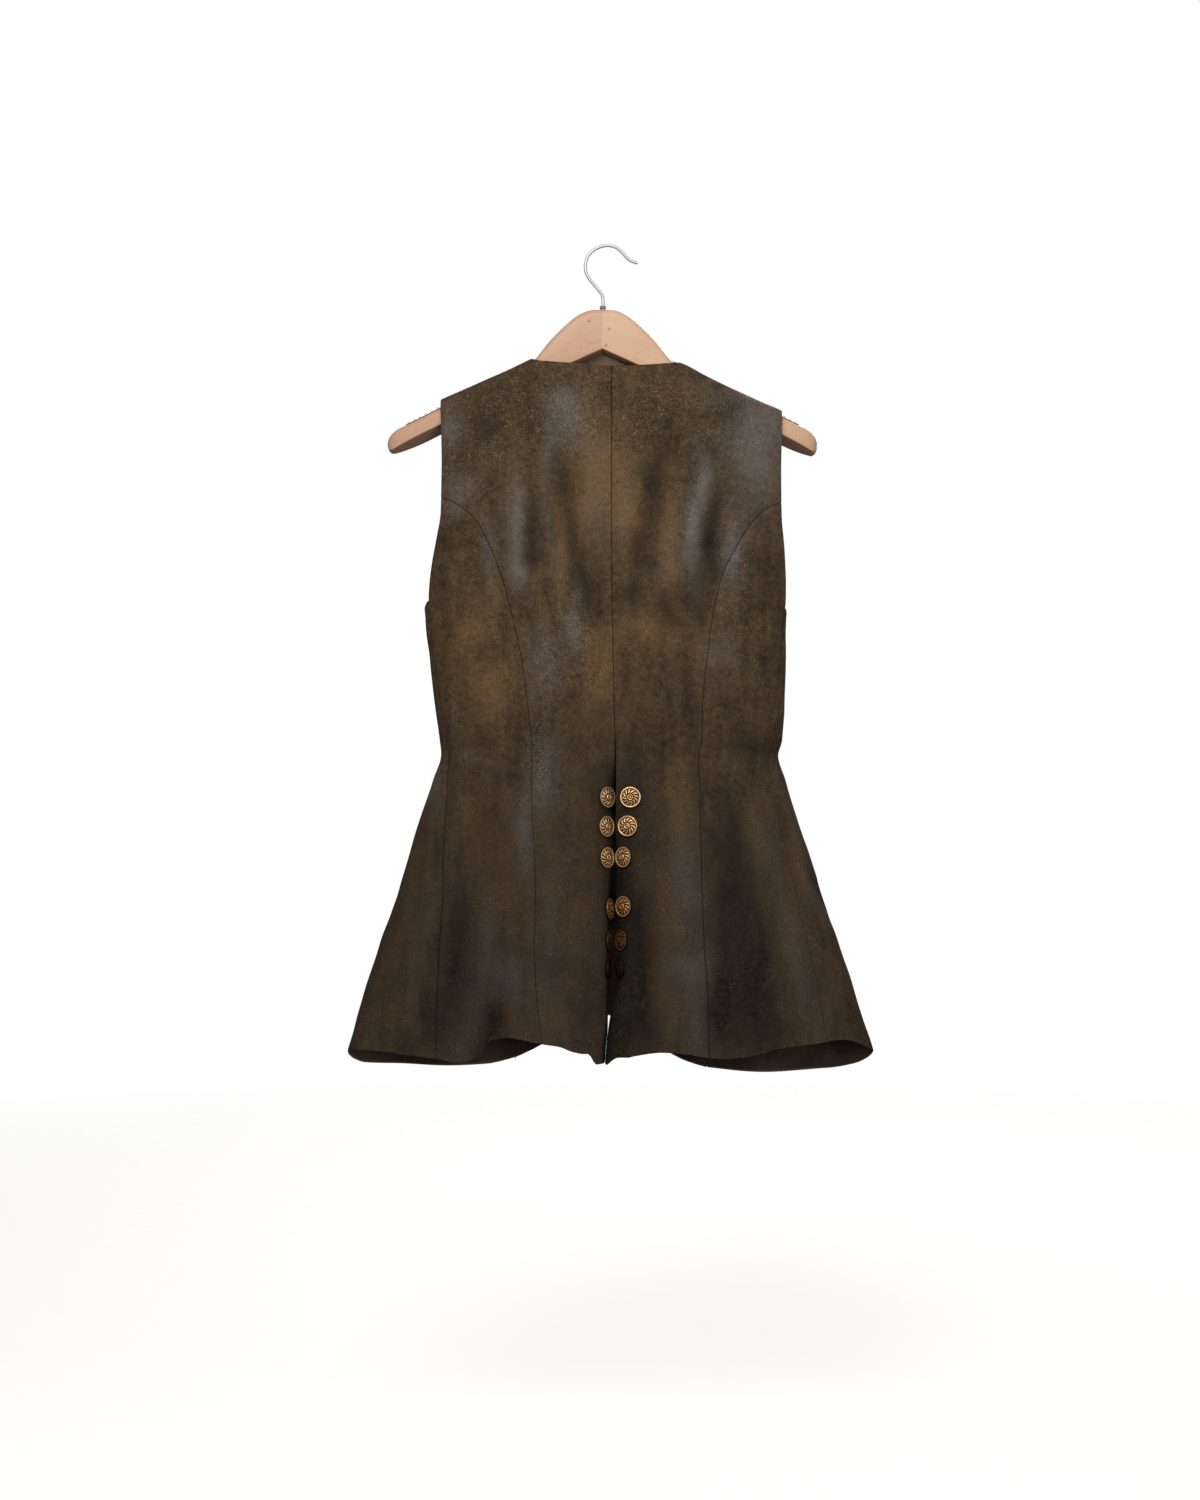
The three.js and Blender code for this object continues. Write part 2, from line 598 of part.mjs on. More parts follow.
// A button lies on the highest leather under its back, so the places round its centre are tried as well.
function addButton(name, surface, place) {
  const { point, normal } = surface(place.along, place.z);
  let rise = 0;
  for (const reach of [0.5, 1])
    for (let k = 0; k < 8; k += 1) {
      const angle = (k * Math.PI) / 4;
      const round = surface(
        place.along + reach * BUTTON_RADIUS * Math.cos(angle),
        place.z + reach * BUTTON_RADIUS * Math.sin(angle),
      ).point;
      rise = Math.max(rise, round.sub(point).dot(normal));
    }
  const button = addMesh(name, buttonGeometry, brass);
  button.quaternion.setFromUnitVectors(new THREE.Vector3(0, 1, 0), normal);
  button.position.copy(point).addScaledVector(normal, rise + place.standoff);
}
// Vent buttons: height, and how far each stands off the turning leather.
const VENT_BUTTONS = {
  left: [[-569, 0.9], [-599, 0.2], [-631, 0.3], [-683.5, 0.1], [-716.5, 0.1], [-745.5, 0.1]],
  right: [[-569, 0.5], [-598.5, 0.1], [-630.5, 0.95], [-681, 0.2], [-715.5, 0.05], [-744.5, 0.1]],
};
// The rolled strip's outer face at a distance from its free edge and a height.
function stripSurface(side, t, z) {
  const sign = side === "left" ? 1 : -1;
  const startTurn = turnAt(stripStart(side, z), z);
  const { x, depth, turn } = stripCourse(side, z)(t);
  const lean = bodyNormal(startTurn, z).z;
  return {
    point: new THREE.Vector3(x, bodyPoint(startTurn, z).y + depth, z),
    normal: new THREE.Vector3(sign * Math.sin(turn), -Math.cos(turn), lean).normalize(),
  };
}
for (const side of ["left", "right"])
  VENT_BUTTONS[side].forEach(([z, standoff], i) =>
    addButton(`vent_button_${side}_${i + 1}`, (along, height) => stripSurface(side, along, height), {
      along: VENT_BUTTON_IN,
      z,
      standoff,
    }),
  );

const FRONT_BUTTONS = 8;
const FRONT_BUTTON_TOP = -122;
const FRONT_BUTTON_LOW = -764;
const frontSurface = (x, z) => {
  const turn = turnAt(x, z, "front");
  return { point: bodyPoint(turn, z), normal: bodyNormal(turn, z) };
};
for (let i = 0; i < FRONT_BUTTONS; i += 1) {
  const z = mix(FRONT_BUTTON_TOP, FRONT_BUTTON_LOW, i / (FRONT_BUTTONS - 1));
  addButton(`front_button_${i + 1}`, frontSurface, { along: FRONT_MIDDLE, z, standoff: BUTTON_STANDOFF });
}

// Hanger arm: upright sections from the middle to the tip, each with a rounded top, and a lower face that
// falls forwards.
const hangerArm = tableReader(
  ["out", "top", "low", "lip", "half"],
  [
    [0.15, -64.6, -106.6, -106.6, 7.5],
    [11, -65.2, -111.5, -111.5, 7.5],
    [22.7, -69.2, -116.7, -116.9, 7.5],
    [33, -76.4, -121.3, -121.8, 7.5],
    [54, -96.4, -130.6, -131.8, 7.4],
    [61, -104.8, -133.8, -135.2, 7.3],
    [68, -113.4, -136.9, -138.8, 7],
    [75, -119.9, -140, -142.3, 7],
    [82, -124.2, -143.1, -145.8, 7.5],
    [100, -131.4, -151.2, -154.9, 8.4],
    [125, -143.4, -162.3, -167.6, 9.2],
    [150, -154.6, -173.5, -180.2, 10.2],
    [172, -164.6, -183.3, -190.6, 11.2],
    [190, -172.6, -191.4, -198.4, 12],
    [205, -178.9, -198.2, -203.6, 12.2],
    [215, -183, -203, -206.4, 11.6],
    [221, -187.4, -205.8, -207.4, 9.4],
    [225.5, -193, -202, -203, 4.5],
  ],
);
const ARM_STATIONS = [
  0.15, 6, 11, 17, 22.7, 28, 33, 43, 54, 61, 68, 75, 82, 100, 125, 150, 172, 190, 205, 215, 221, 225.5,
];
const ARM_CHAMFER = 1.6;
function armSection(out) {
  const value = (column) => hangerArm(column, out);
  const y = ARM_SWEEP * out * out;
  const half = value("half");
  const round = Math.min(half, 0.45 * (value("top") - value("low")));
  const points = [[y - half + ARM_CHAMFER, value("low")], [y - half, value("low") + ARM_CHAMFER]];
  for (const angle of [180, 144, 108, 72, 36, 0])
    points.push([
      y + half * Math.cos(angle * degrees),
      value("top") - round + round * Math.sin(angle * degrees),
    ]);
  points.push([y + half, value("lip") + ARM_CHAMFER], [y + half - ARM_CHAMFER, value("lip")]);
  return points;
}
function loftGeometry(rings) {
  const count = rings[0].length;
  const positions = rings.flat(2);
  const faces = [];
  rings.slice(1).forEach((_, i) => {
    for (let k = 0; k < count; k += 1) {
      const [a, b] = [i * count + k, i * count + ((k + 1) % count)];
      faces.push(a, b, b + count, a, b + count, a + count);
    }
  });
  const last = (rings.length - 1) * count;
  for (let k = 1; k < count - 1; k += 1) faces.push(0, k + 1, k, last, last + k, last + k + 1);
  return facingOut(positions, faces);
}
function armGeometry(sign) {
  return loftGeometry(
    ARM_STATIONS.map((out) => armSection(out).map(([y, z]) => [HANGER_MIDDLE + sign * out, y, z])),
  );
}

// The hook's stem stands in a bored hole on the joint of the two arms.
const WIRE_RADIUS = 1.7;
const STEM_X = -4.8;
const HOLE_RADIUS = 2.1;
const HOLE_BOTTOM = -86;
const STEM_BOTTOM = -85;
const HOLE_SEGMENTS = 16;
const asSolid = (geometry) => {
  const bare = geometry.clone();
  bare.deleteAttribute("normal");
  bare.deleteAttribute("uv");
  const merged = mergeVertices(bare, 1e-4);
  return new wasm.Manifold(
    new wasm.Mesh({
      numProp: 3,
      vertProperties: merged.attributes.position.array,
      triVerts: new Uint32Array(merged.index.array),
    }),
  );
};
const asGeometry = (solid) => {
  const mesh = solid.getMesh();
  const geometry = new THREE.BufferGeometry();
  geometry.setAttribute("position", new THREE.BufferAttribute(new Float32Array(mesh.vertProperties), 3));
  geometry.setIndex(new THREE.BufferAttribute(new Uint32Array(mesh.triVerts), 1));
  geometry.computeVertexNormals();
  return geometry;
};
const HOLE_TOP = -50;
const hole = new THREE.CylinderGeometry(HOLE_RADIUS, HOLE_RADIUS, HOLE_TOP - HOLE_BOTTOM, HOLE_SEGMENTS)
  .rotateX(90 * degrees)
  .translate(STEM_X, 0, (HOLE_TOP + HOLE_BOTTOM) / 2);
for (const [side, sign] of [["left", -1], ["right", 1]])
  addMesh(`hanger_arm_${side}`, asGeometry(asSolid(armGeometry(sign)).subtract(asSolid(hole))), wood);

// Ribbed strip on each arm, near its tip: a thin base with rounded ribs across it.
const RIB = { first: 163, pitch: 6.2, count: 7, base: 0.6, height: 1.8, halfWidth: 4, seat: 0.3 };
const RIB_SHAPE = [[0, 0], [0.22, 0], [0.36, 0.8], [0.5, 1], [0.64, 0.8], [0.78, 0]];
function ribGeometry(sign) {
  const places = [];
  for (let i = 0; i < RIB.count; i += 1)
    for (const [share, rise] of RIB_SHAPE) places.push([RIB.first + (i + share) * RIB.pitch, rise]);
  places.push([RIB.first + RIB.count * RIB.pitch, 0]);
  return loftGeometry(
    places.map(([out, rise]) => {
      const y = ARM_SWEEP * out * out;
      const x = HANGER_MIDDLE + sign * out;
      const seat = hangerArm("top", out) + RIB.seat;
      const top = seat + RIB.base + rise * RIB.height;
      return [
        [x, y - RIB.halfWidth, seat], [x, y - RIB.halfWidth, top - 0.25 - 0.4 * rise],
        [x, y - RIB.halfWidth / 2, top], [x, y + RIB.halfWidth / 2, top],
        [x, y + RIB.halfWidth, top - 0.25 - 0.4 * rise], [x, y + RIB.halfWidth, seat],
      ];
    }),
  );
}
addMesh("rib_strip_left", ribGeometry(-1), rubber);
addMesh("rib_strip_right", ribGeometry(1), rubber);

// Hook: a bent steel wire, its open end rounded.
const HOOK_LINE = [
  [-4.8, -68], [-4.6, -56], [-5.6, -49.6], [-12, -41], [-18.5, -33.2], [-22, -26.6], [-22.9, -19.6],
  [-21.2, -11.6], [-16.4, -4.8], [-9, -0.2], [0, WIRE_RADIUS], [8.5, -0.2], [15, -5.2], [19.6, -10.4],
  [24, -13.9], [29.6, -16.2],
];
const HOOK_RINGS = 36;
const WIRE_SEGMENTS = 10;
const hookCurve = new THREE.CatmullRomCurve3(
  [[STEM_X, STEM_BOTTOM], [STEM_X, -76], ...HOOK_LINE].map(([x, z]) => new THREE.Vector3(x, 0, z)),
  false,
  "centripetal",
);
function wireRing(centre, along, radius) {
  const side = new THREE.Vector3(-along.z, 0, along.x);
  return Array.from({ length: WIRE_SEGMENTS }, (_, k) => {
    const angle = (2 * Math.PI * k) / WIRE_SEGMENTS;
    const p = centre.clone().addScaledVector(side, radius * Math.cos(angle));
    return [p.x, p.y + radius * Math.sin(angle), p.z];
  });
}
function hookGeometry() {
  const rings = even(HOOK_RINGS).map((t) =>
    wireRing(hookCurve.getPointAt(t), hookCurve.getTangentAt(t).normalize(), WIRE_RADIUS),
  );
  const end = hookCurve.getPointAt(1);
  const along = hookCurve.getTangentAt(1).normalize();
  for (const angle of [30, 60, 82])
    rings.push(
      wireRing(
        end.clone().addScaledVector(along, WIRE_RADIUS * Math.sin(angle * degrees)),
        along,
        WIRE_RADIUS * Math.cos(angle * degrees),
      ),
    );
  return loftGeometry(rings);
}
addMesh("hook", hookGeometry(), steel);

// Collar round the stem where it leaves the wood.
const COLLAR = { inner: 2.3, outer: 3.1, low: -64.2, high: -61.2 };
const collarProfile = [
  [COLLAR.inner, COLLAR.low], [COLLAR.outer, COLLAR.low], [COLLAR.outer, COLLAR.high - 0.6],
  [COLLAR.outer - 0.4, COLLAR.high], [COLLAR.inner, COLLAR.high], [COLLAR.inner, COLLAR.low],
].map(([r, z]) => new THREE.Vector2(r, z));
const collar = addMesh("hook_collar", new THREE.LatheGeometry(collarProfile, 20), steel);
collar.rotation.x = 90 * degrees;
collar.position.x = STEM_X;

export default vest;
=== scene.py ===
# A fitted leather vest on a wooden hanger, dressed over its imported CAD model.
# The garment's back faces -Y; sizes in the tables are millimetres and the meshes are metres.

import math

import bpy
import numpy as np
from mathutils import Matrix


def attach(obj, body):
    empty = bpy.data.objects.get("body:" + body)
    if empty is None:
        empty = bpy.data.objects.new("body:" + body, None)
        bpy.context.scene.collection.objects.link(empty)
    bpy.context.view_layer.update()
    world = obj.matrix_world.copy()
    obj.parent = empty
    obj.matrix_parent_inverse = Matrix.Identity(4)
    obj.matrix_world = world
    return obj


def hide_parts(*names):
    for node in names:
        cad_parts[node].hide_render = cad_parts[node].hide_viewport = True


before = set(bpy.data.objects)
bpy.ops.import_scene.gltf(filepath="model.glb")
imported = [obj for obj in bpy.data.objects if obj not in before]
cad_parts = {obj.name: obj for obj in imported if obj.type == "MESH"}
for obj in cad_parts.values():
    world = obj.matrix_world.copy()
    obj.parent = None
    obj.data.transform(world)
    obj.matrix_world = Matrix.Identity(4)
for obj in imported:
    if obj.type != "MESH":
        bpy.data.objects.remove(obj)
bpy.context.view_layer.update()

MM = 0.001

# Camera: level, 2.4 m behind the vest, a little below its middle. With this lens a pixel of the frame is
# 1.035 mm at the vest.
CAMERA_PLACE = (-0.00776, -2.4, -0.5205)
CAMERA_LENS = 55.65
camera_data = bpy.data.cameras.new("camera")
camera_data.sensor_width = 36
camera_data.lens = CAMERA_LENS
camera = bpy.data.objects.new("camera", camera_data)
camera.location = CAMERA_PLACE
camera.rotation_euler = (math.radians(90), 0, 0)
bpy.context.scene.collection.objects.link(camera)
bpy.context.scene.camera = camera

# Driving sizes
LEATHER = 1.6  # thickness
SEAM_DIP = 0.5  # the leather sinks to a sewn seam by this much
SEAM_REACH = 2.6  # half width of that sinking
EDGE_ROUND = 0.8  # radius of a turned edge
EDGE_TURN = 0.85  # share of that radius by which the edge turns down
SECTION_POWER = 2.3  # of the superellipse that a level section follows
SHOULDER_ROUND = 13  # height of the turn of the leather over the arm of the hanger
ARM_SWEEP = 0.00089  # forward bow of the hanger's arms, times the distance squared
HANGER_MIDDLE = -5.3  # across
FRONT_MIDDLE = 4  # across, of the front's opening
FRONT_LAP = 14  # each front panel runs past the opening's middle by this much
LAP_STEP = 3.8  # the left front lies this much deeper under the right one
VENT_STRIP = 42  # width of the rolled strip along each edge of the vent
STRIP_STEPS = 84  # steps of the running sums across it
CURVE_SAMPLES = 1201
# Between these heights the body's sides move over to the hanger's arms
SHOULDER_BLEND = (-270, -150)
# Rough heights at which the places of an edge's ends are looked up
NECK_Z = -122
STRIP_HEM_Z = -836
BACK_HEM_Z = -833
FRONT_HEM_Z = -845
OPENING_HEM_Z = -800
SEWN_TO_Z = -532  # the middle seam of the back ends here, and the vent starts


def mix(a, b, t):
    """From a to b by the share t."""
    return a + (b - a) * t


def ease(start, end, value):
    """Smooth step: 0 at start, 1 at end, flat at both."""
    t = np.clip((value - start) / (end - start), 0, 1)
    return t * t * (3 - 2 * t)


def signed_power(value, power):
    """The power of the size, with the sign kept."""
    return np.sign(value) * np.abs(value) ** power


def unit(vectors):
    """Each vector divided by its length."""
    return vectors / np.linalg.norm(vectors, axis=-1, keepdims=True)


def table(columns, rows):
    """Reads a column of a table at places along its first one: cubics whose slopes are harmonic means."""
    data = np.array(sorted(rows), float)
    at = data[:, 0]

    def read(column, value):
        y = data[:, columns.index(column)]
        slope = np.diff(y) / np.diff(at)
        product = slope[:-1] * slope[1:]
        total = slope[:-1] + slope[1:]
        inner = np.where(product > 0, 2 * product / np.where(product > 0, total, 1), 0)
        tangent = np.concatenate([slope[:1], inner, slope[-1:]])
        x = np.clip(value, at[0], at[-1])
        i = np.clip(np.searchsorted(at, x) - 1, 0, len(at) - 2)
        span = at[i + 1] - at[i]
        t = (x - at[i]) / span
        rise = y[i + 1] - y[i]
        a = tangent[i] * span
        b = tangent[i + 1] * span
        return y[i] + a * t + (3 * rise - 2 * a - b) * t**2 + (a + b - 2 * rise) * t**3

    return read


def curve(points, shares):
    """Centripetal Catmull-Rom curve through the points, read at shares of its length."""
    p = np.array(points, float)
    wide = np.vstack([2 * p[0] - p[1], p, 2 * p[-1] - p[-2]])
    u = np.linspace(0, len(p) - 1, CURVE_SAMPLES)
    i = np.minimum(u.astype(int), len(p) - 2)
    w = (u - i)[:, None]
    before, start, end, after = wide[i], wide[i + 1], wide[i + 2], wide[i + 3]
    legs = ((before, start), (start, end), (end, after))
    gap = [np.sqrt(np.linalg.norm(b - a, axis=1))[:, None] for a, b in legs]
    leave = gap[1] * ((start - before) / gap[0] - (end - before) / (gap[0] + gap[1]) + (end - start) / gap[1])
    arrive = gap[1] * ((end - start) / gap[1] - (after - start) / (gap[1] + gap[2]) + (after - end) / gap[2])
    cube = 2 * start - 2 * end + leave + arrive
    square = -3 * start + 3 * end - 2 * leave - arrive
    line = start + leave * w + square * w**2 + cube * w**3
    length = np.concatenate([[0], np.cumsum(np.linalg.norm(np.diff(line, axis=0), axis=1))])
    return np.stack([np.interp(np.asarray(shares) * length[-1], length, c) for c in line.T], axis=1)


# Level sections of the body: its middle, half width, the Y of its sides, and its depth behind and before them
section = table(
    ["z", "middle", "half", "side", "back", "front"],
    [
        [-60, 4, 204, 25, 13, 13],
        [-110, 4, 204, 25, 14, 14],
        [-155, 4, 203, 25, 23, 26],
        [-200, 4, 201, 25, 35, 44],
        [-260, 4, 197, 25, 47, 60],
        [-310, 3, 194, 25, 52, 67],
        [-364, -1, 190.5, 25, 54, 68],
        [-384.5, -1.8, 188.6, 25, 54, 67],
        [-426, 0.4, 185.9, 25, 53, 62],
        [-468, 2.4, 182.8, 24, 50, 55],
        [-510, 3.7, 178.3, 23, 47, 50],
        [-526, 2.2, 175.7, 23, 46, 49],
        [-552, 1.7, 184.0, 24, 47, 49],
        [-594, 0.7, 197.7, 25, 50, 51],
        [-635.5, 1.6, 211.3, 26, 53, 54],
        [-677.4, 2.2, 224.3, 27, 56, 56],
        [-719, 1.7, 238.5, 28, 59, 57],
        [-761, 2.7, 253.1, 30, 62, 57],
        [-803, 2.7, 265.6, 32, 64, 56],
        [-833, 3.3, 275.2, 34, 66, 54],
        [-870, 4, 286, 36, 68, 52],
    ],
)
# Top of the leather where it lies over the hanger's arms
shoulder_line = table(
    ["x", "z"],
    [
        [-174.6, -154.2],
        [-168.9, -152],
        [-147.5, -143.8],
        [-126.5, -135.3],
        [-105.4, -126.8],
        [-84.5, -117.4],
        [-79.4, -115],
        [-5, -84],
        [76.3, -119],
        [81.5, -121],
        [102.2, -131.6],
        [123.4, -141.3],
        [144.6, -150],
        [165.9, -158.5],
        [176.7, -162.2],
        [183.2, -165],
    ],
)

# Soft folds of the skirt: start across and down, place at the hem, half width there, and how far out
FOLD_HEM_Z = -840
BACK_FOLDS = [
    [-118, -620, -154, 22, 9],
    [-106, -640, -121, 14, -10],
    [-58, -600, -60, 30, 4],
    [-190, -640, -214, 24, -5],
    [97, -560, 96, 34, 7],
    [130, -600, 166, 26, -11],
    [182, -600, 224, 22, 6],
]
FRONT_FOLDS = [
    [-80, -560, -96, 34, 7],
    [-130, -600, -165, 30, -10],
    [-182, -600, -222, 24, 5],
    [88, -560, 104, 34, 7],
    [138, -600, 170, 30, -10],
    [186, -600, 226, 24, 5],
]


def fold_height(folds, x, z):
    """Sum over the folds of a bell curve across each, growing with the power 1.5 of the way down."""
    total = 0
    for start_x, start_z, hem_x, half_width, out in folds:
        down = np.clip((start_z - z) / (start_z - FOLD_HEM_Z), 0, 1)
        away = (x - mix(start_x, hem_x, down)) / half_width
        total = total + out * down**1.5 * np.exp(-(away**2))
    return total


def body_point(turn, z):
    """Superellipse at each height: x by the sine's power, y by the cosine's, rounded off under the shoulder
    line by a quarter circle, with the skirt's folds added outwards. 0 is the middle of the back."""
    turn, z = np.broadcast_arrays(np.asarray(turn, float), np.asarray(z, float))
    across = signed_power(np.sin(np.radians(turn)), 2 / SECTION_POWER)
    deep = signed_power(np.cos(np.radians(turn)), 2 / SECTION_POWER)
    x = section("middle", z) + section("half", z) * across
    below = np.clip((shoulder_line("z", x) - z) / SHOULDER_ROUND, 0, 1)
    rounding = np.sqrt(1 - (1 - below) ** 2)
    arm_y = ARM_SWEEP * (x - HANGER_MIDDLE) ** 2
    middle_y = mix(section("side", z), arm_y, ease(*SHOULDER_BLEND, z))
    behind = deep >= 0
    depth = np.where(behind, section("back", z), section("front", z))
    fold = np.where(behind, -fold_height(BACK_FOLDS, x, z), fold_height(FRONT_FOLDS, x, z))
    y = middle_y - depth * deep * rounding + fold * np.minimum(1, 2 * np.abs(deep))
    return np.stack([x, y, z], axis=-1)


def body_normal(turn, z):
    """Cross product of small steps round the body and down it."""
    along = body_point(turn + 0.25, z) - body_point(turn - 0.25, z)
    up = body_point(turn, z) - body_point(turn, z - 0.04)
    return unit(np.cross(along, up))


def turn_at(x, z, half="back"):
    """Turn round the body for a place across its back or front half: the sine's power undone."""
    across = np.clip((x - section("middle", z)) / section("half", z), -1, 1)
    turn = np.degrees(np.arcsin(signed_power(across, SECTION_POWER / 2)))
    if half == "back":
        return turn
    return np.where(turn >= 0, 180 - turn, -180 - turn)


def seam_line(rows, half="back"):
    """A line of places across and heights as turns and heights."""
    x, z = np.array(rows, float).T
    return np.stack([turn_at(x, z, half), z], axis=1)


# Seams and edges of the panels: places across and heights, from the top down
FRONT_PRINCESS_LEFT = np.array([
    [-168, -262], [-156, -269], [-142, -284], [-130, -304], [-118, -336], [-108, -376],
    [-99, -425], [-90, -480], [-85, -525], [-86, -600], [-91, -700], [-96, -790], [-99, -853],
], float)
FRONT_PRINCESS_RIGHT = FRONT_PRINCESS_LEFT * [-1, 1] + [2 * FRONT_MIDDLE, -3]
# The right one ends at the hem, which hangs lower there
FRONT_PRINCESS_RIGHT[-1, 1] = -860
BACK_PRINCESS = {
    "left": seam_line([
        [-172.7, -259.3], [-161.3, -263.5], [-150.4, -270.1], [-139.3, -280.3], [-129.9, -292.9],
        [-123, -307], [-114.1, -328.1], [-104.9, -355.6], [-95.7, -392.2], [-86.6, -438], [-82, -474.7],
        [-77.6, -529.7], [-75, -623], [-74.8, -733], [-72.4, -777], [-67.6, -820.6],
    ]),
    "right": seam_line([
        [180.4, -264], [165, -270.9], [152.4, -281.9], [143, -294.4], [133.6, -310.1],
        [122.6, -330], [114.6, -353], [107.7, -386], [102.1, -428.8], [97.6, -474.7],
        [94.9, -520.5], [95, -560], [96.7, -652.9], [98.9, -721.7], [103.2, -788.4], [104.1, -835],
    ]),
}
SIDE_SEAM = {
    "left": seam_line([
        [-186, -364.6], [-180.3, -427], [-175.1, -468.5], [-168.4, -505], [-165.2, -527.8],
        [-166, -560], [-169.9, -655.6], [-174.1, -738.8], [-176.6, -837.5],
    ]),
    "right": seam_line([
        [185.4, -372], [181.5, -420], [175.2, -464.4], [168.9, -504.9], [167, -525.7],
        [169.4, -550], [189.7, -645.2], [208.4, -728.4], [228, -827],
    ]),
}
FRONT_PRINCESS = {
    "left": seam_line(FRONT_PRINCESS_LEFT, "front"),
    "right": seam_line(FRONT_PRINCESS_RIGHT, "front"),
}
ARMHOLE_BACK = {
    "left": seam_line([[-174.4, -154.2], [-173.2, -185], [-172.3, -220], [-172.7, -259.3]]),
    "right": seam_line([[182.8, -165], [181.6, -195], [180.5, -228], [180.4, -264]]),
}
ARMHOLE_UNDER = {
    "left": seam_line([
        [-172.7, -259.3], [-173.6, -280], [-177.5, -301], [-182, -324], [-184.6, -343], [-186, -364.6],
    ]),
    "right": seam_line([
        [180.4, -264], [181, -284], [182.8, -302], [184.6, -326], [185.6, -346], [185.4, -372],
    ]),
}
ARMHOLE_FRONT = {
    "left": seam_line([[-174.4, -154.2], [-170, -185], [-167.4, -222], [-168, -262]], "front"),
    "right": seam_line([[182.8, -165], [178, -195], [175.6, -228], [176, -265]], "front"),
}
ARMHOLE_LOW = {"left": -372, "right": -379}  # height of the armhole's lowest point
TIP = {"left": -174.4, "right": 182.8}  # outer end of the shoulder
NECK_POINT = {"left": -79.4, "right": 76.3}  # where the shoulder meets the neck

back_hem = table(
    ["x", "z"],
    [
        [-272, -833.5], [-246, -832], [-208, -835.5], [-170.6, -838], [-151.7, -840.1], [-136, -837.2],
        [-127, -829], [-122, -819.5], [-104, -815.5], [-68.2, -821], [-49.8, -823.7], [-36, -829],
        [-13.4, -833.5], [8, -838], [28, -833.4], [56.5, -829.8], [83.9, -831.7], [103.5, -834.9],
        [123.1, -836.6], [148.5, -835.2], [177.9, -828.8], [207.3, -824], [246.6, -820], [262, -824],
        [279, -834],
    ],
)
front_hem = {
    "left": table(
        ["x", "z"],
        [
            [-276, -836], [-266, -846], [-253, -851.5], [-217.4, -854.7], [-177.8, -856.3],
            [-128.6, -856.6], [-102.9, -852], [-82.8, -843.4], [-64, -833], [-40, -823.5],
            [-16, -813.5], [2, -804.5], [20, -788],
        ],
    ),
    "right": table(
        ["x", "z"],
        [
            [-12, -788], [2, -803.5], [16, -816], [36, -829], [63.4, -843.5], [83.9, -854.6],
            [108.4, -861.7], [145.2, -863.8], [185.8, -862.7], [227.1, -859.7], [257.8, -852.6],
            [272, -845.5], [281, -837],
        ],
    ),
}
back_neck = table(
    ["x", "z"],
    [
        [-79.4, -115], [-69.6, -118.6], [-49, -120.8], [-32.5, -122.2], [4.6, -124.7], [33.5, -123.7],
        [50, -122.7], [66.4, -120.8], [76.3, -119],
    ],
)
front_neck = table(
    ["x", "z"],
    [[-79.4, -115], [-60, -111], [-30, -104.5], [0, -101], [30, -105], [58, -113], [76.3, -119]],
)

# The vent and the middle seam above it: where each edge is seen, and how far it has turned in, in degrees
vent = table(
    ["z", "left_x", "left_turn", "right_x", "right_turn"],
    [
        [-100, 4, 0, 4, 0],
        [-300, 4.1, 0, 4.1, 0],
        [-469, 6.6, 0, 6.6, 0],
        [-500, 7.4, 0, 7.4, 0],
        [-528, 8, 14, 8.3, 4],
        [-569, 7, 62, 8.6, 8],
        [-599, 6.2, 64, 7.9, 31],
        [-631, 5.2, 71, 9.3, 63],
        [-683, 2.1, 99, 8.6, 62],
        [-716, 1, 106, 11.2, 85],
        [-745, 0.4, 112, 11.8, 98],
        [-795, 0.4, 112, 1.6, 105],
        [-817, -1.7, 104, -1.4, 98],
        [-846, -3.6, 95, -3.3, 92],
    ],
)
# Drop of each vent corner, and how far from the free edge it starts to fade and has faded
VENT_CORNER = {"left": [11, 27, 36], "right": [9, 12, 32]}


def strip_course(side, z, t):
    """Rolled strip of the vent: its turn falls smoothly from the free edge's to none over the strip, and
    its place across and inwards are the running sums of the turn's cosine and sine."""
    sign = 1 if side == "left" else -1
    edge_turn = np.radians(vent(side + "_turn", z))[:, None]
    step = VENT_STRIP / STRIP_STEPS
    turns = edge_turn * (1 - ease(0, VENT_STRIP, (np.arange(STRIP_STEPS) + 0.5) * step))
    start = np.zeros((len(z), 1))
    across = np.hstack([start, np.cumsum(np.cos(turns) * step, axis=1)])
    inward = np.hstack([start, np.cumsum(np.sin(turns) * step, axis=1)])
    i = np.clip((t / step).astype(int), 0, STRIP_STEPS - 1)
    share = t / step - i
    nearest = across.min(axis=1, keepdims=True)
    seen = mix(across[:, i], across[:, i + 1], share) - nearest
    x = vent(side + "_x", z)[:, None] - sign * seen
    depth = inward[:, -1:] - mix(inward[:, i], inward[:, i + 1], share)
    return x, depth, edge_turn * (1 - ease(0, VENT_STRIP, t))


def strip_start(side, z):
    """Where the flat part of the back panel ends and its rolled strip begins."""
    return strip_course(side, np.atleast_1d(np.asarray(z, float)), np.array([float(VENT_STRIP)]))[0][:, 0]


# The panels' grids: rows run down the garment and columns across it, about 3 mm apart, with four more in the
# first and last step, where an edge turns.
NEAR_EDGE = np.array([0.08, 0.2, 0.36, 0.62])
PRINCESS_ROWS = 186
ARMHOLE_ROWS = 31
SHOULDER_COLUMNS = 32
NECK_COLUMNS = 15
STRIP_COLUMNS = 14
BACK_SIDE_COLUMNS = 36
FRONT_SIDE_COLUMNS = 66
FRONT_COLUMNS = 34
TURN_ANGLES = np.radians([0, 1.2, 2.8, 5, 8, 12, 18, 25, 33, 42, 52, 62, 72, 81, 90])


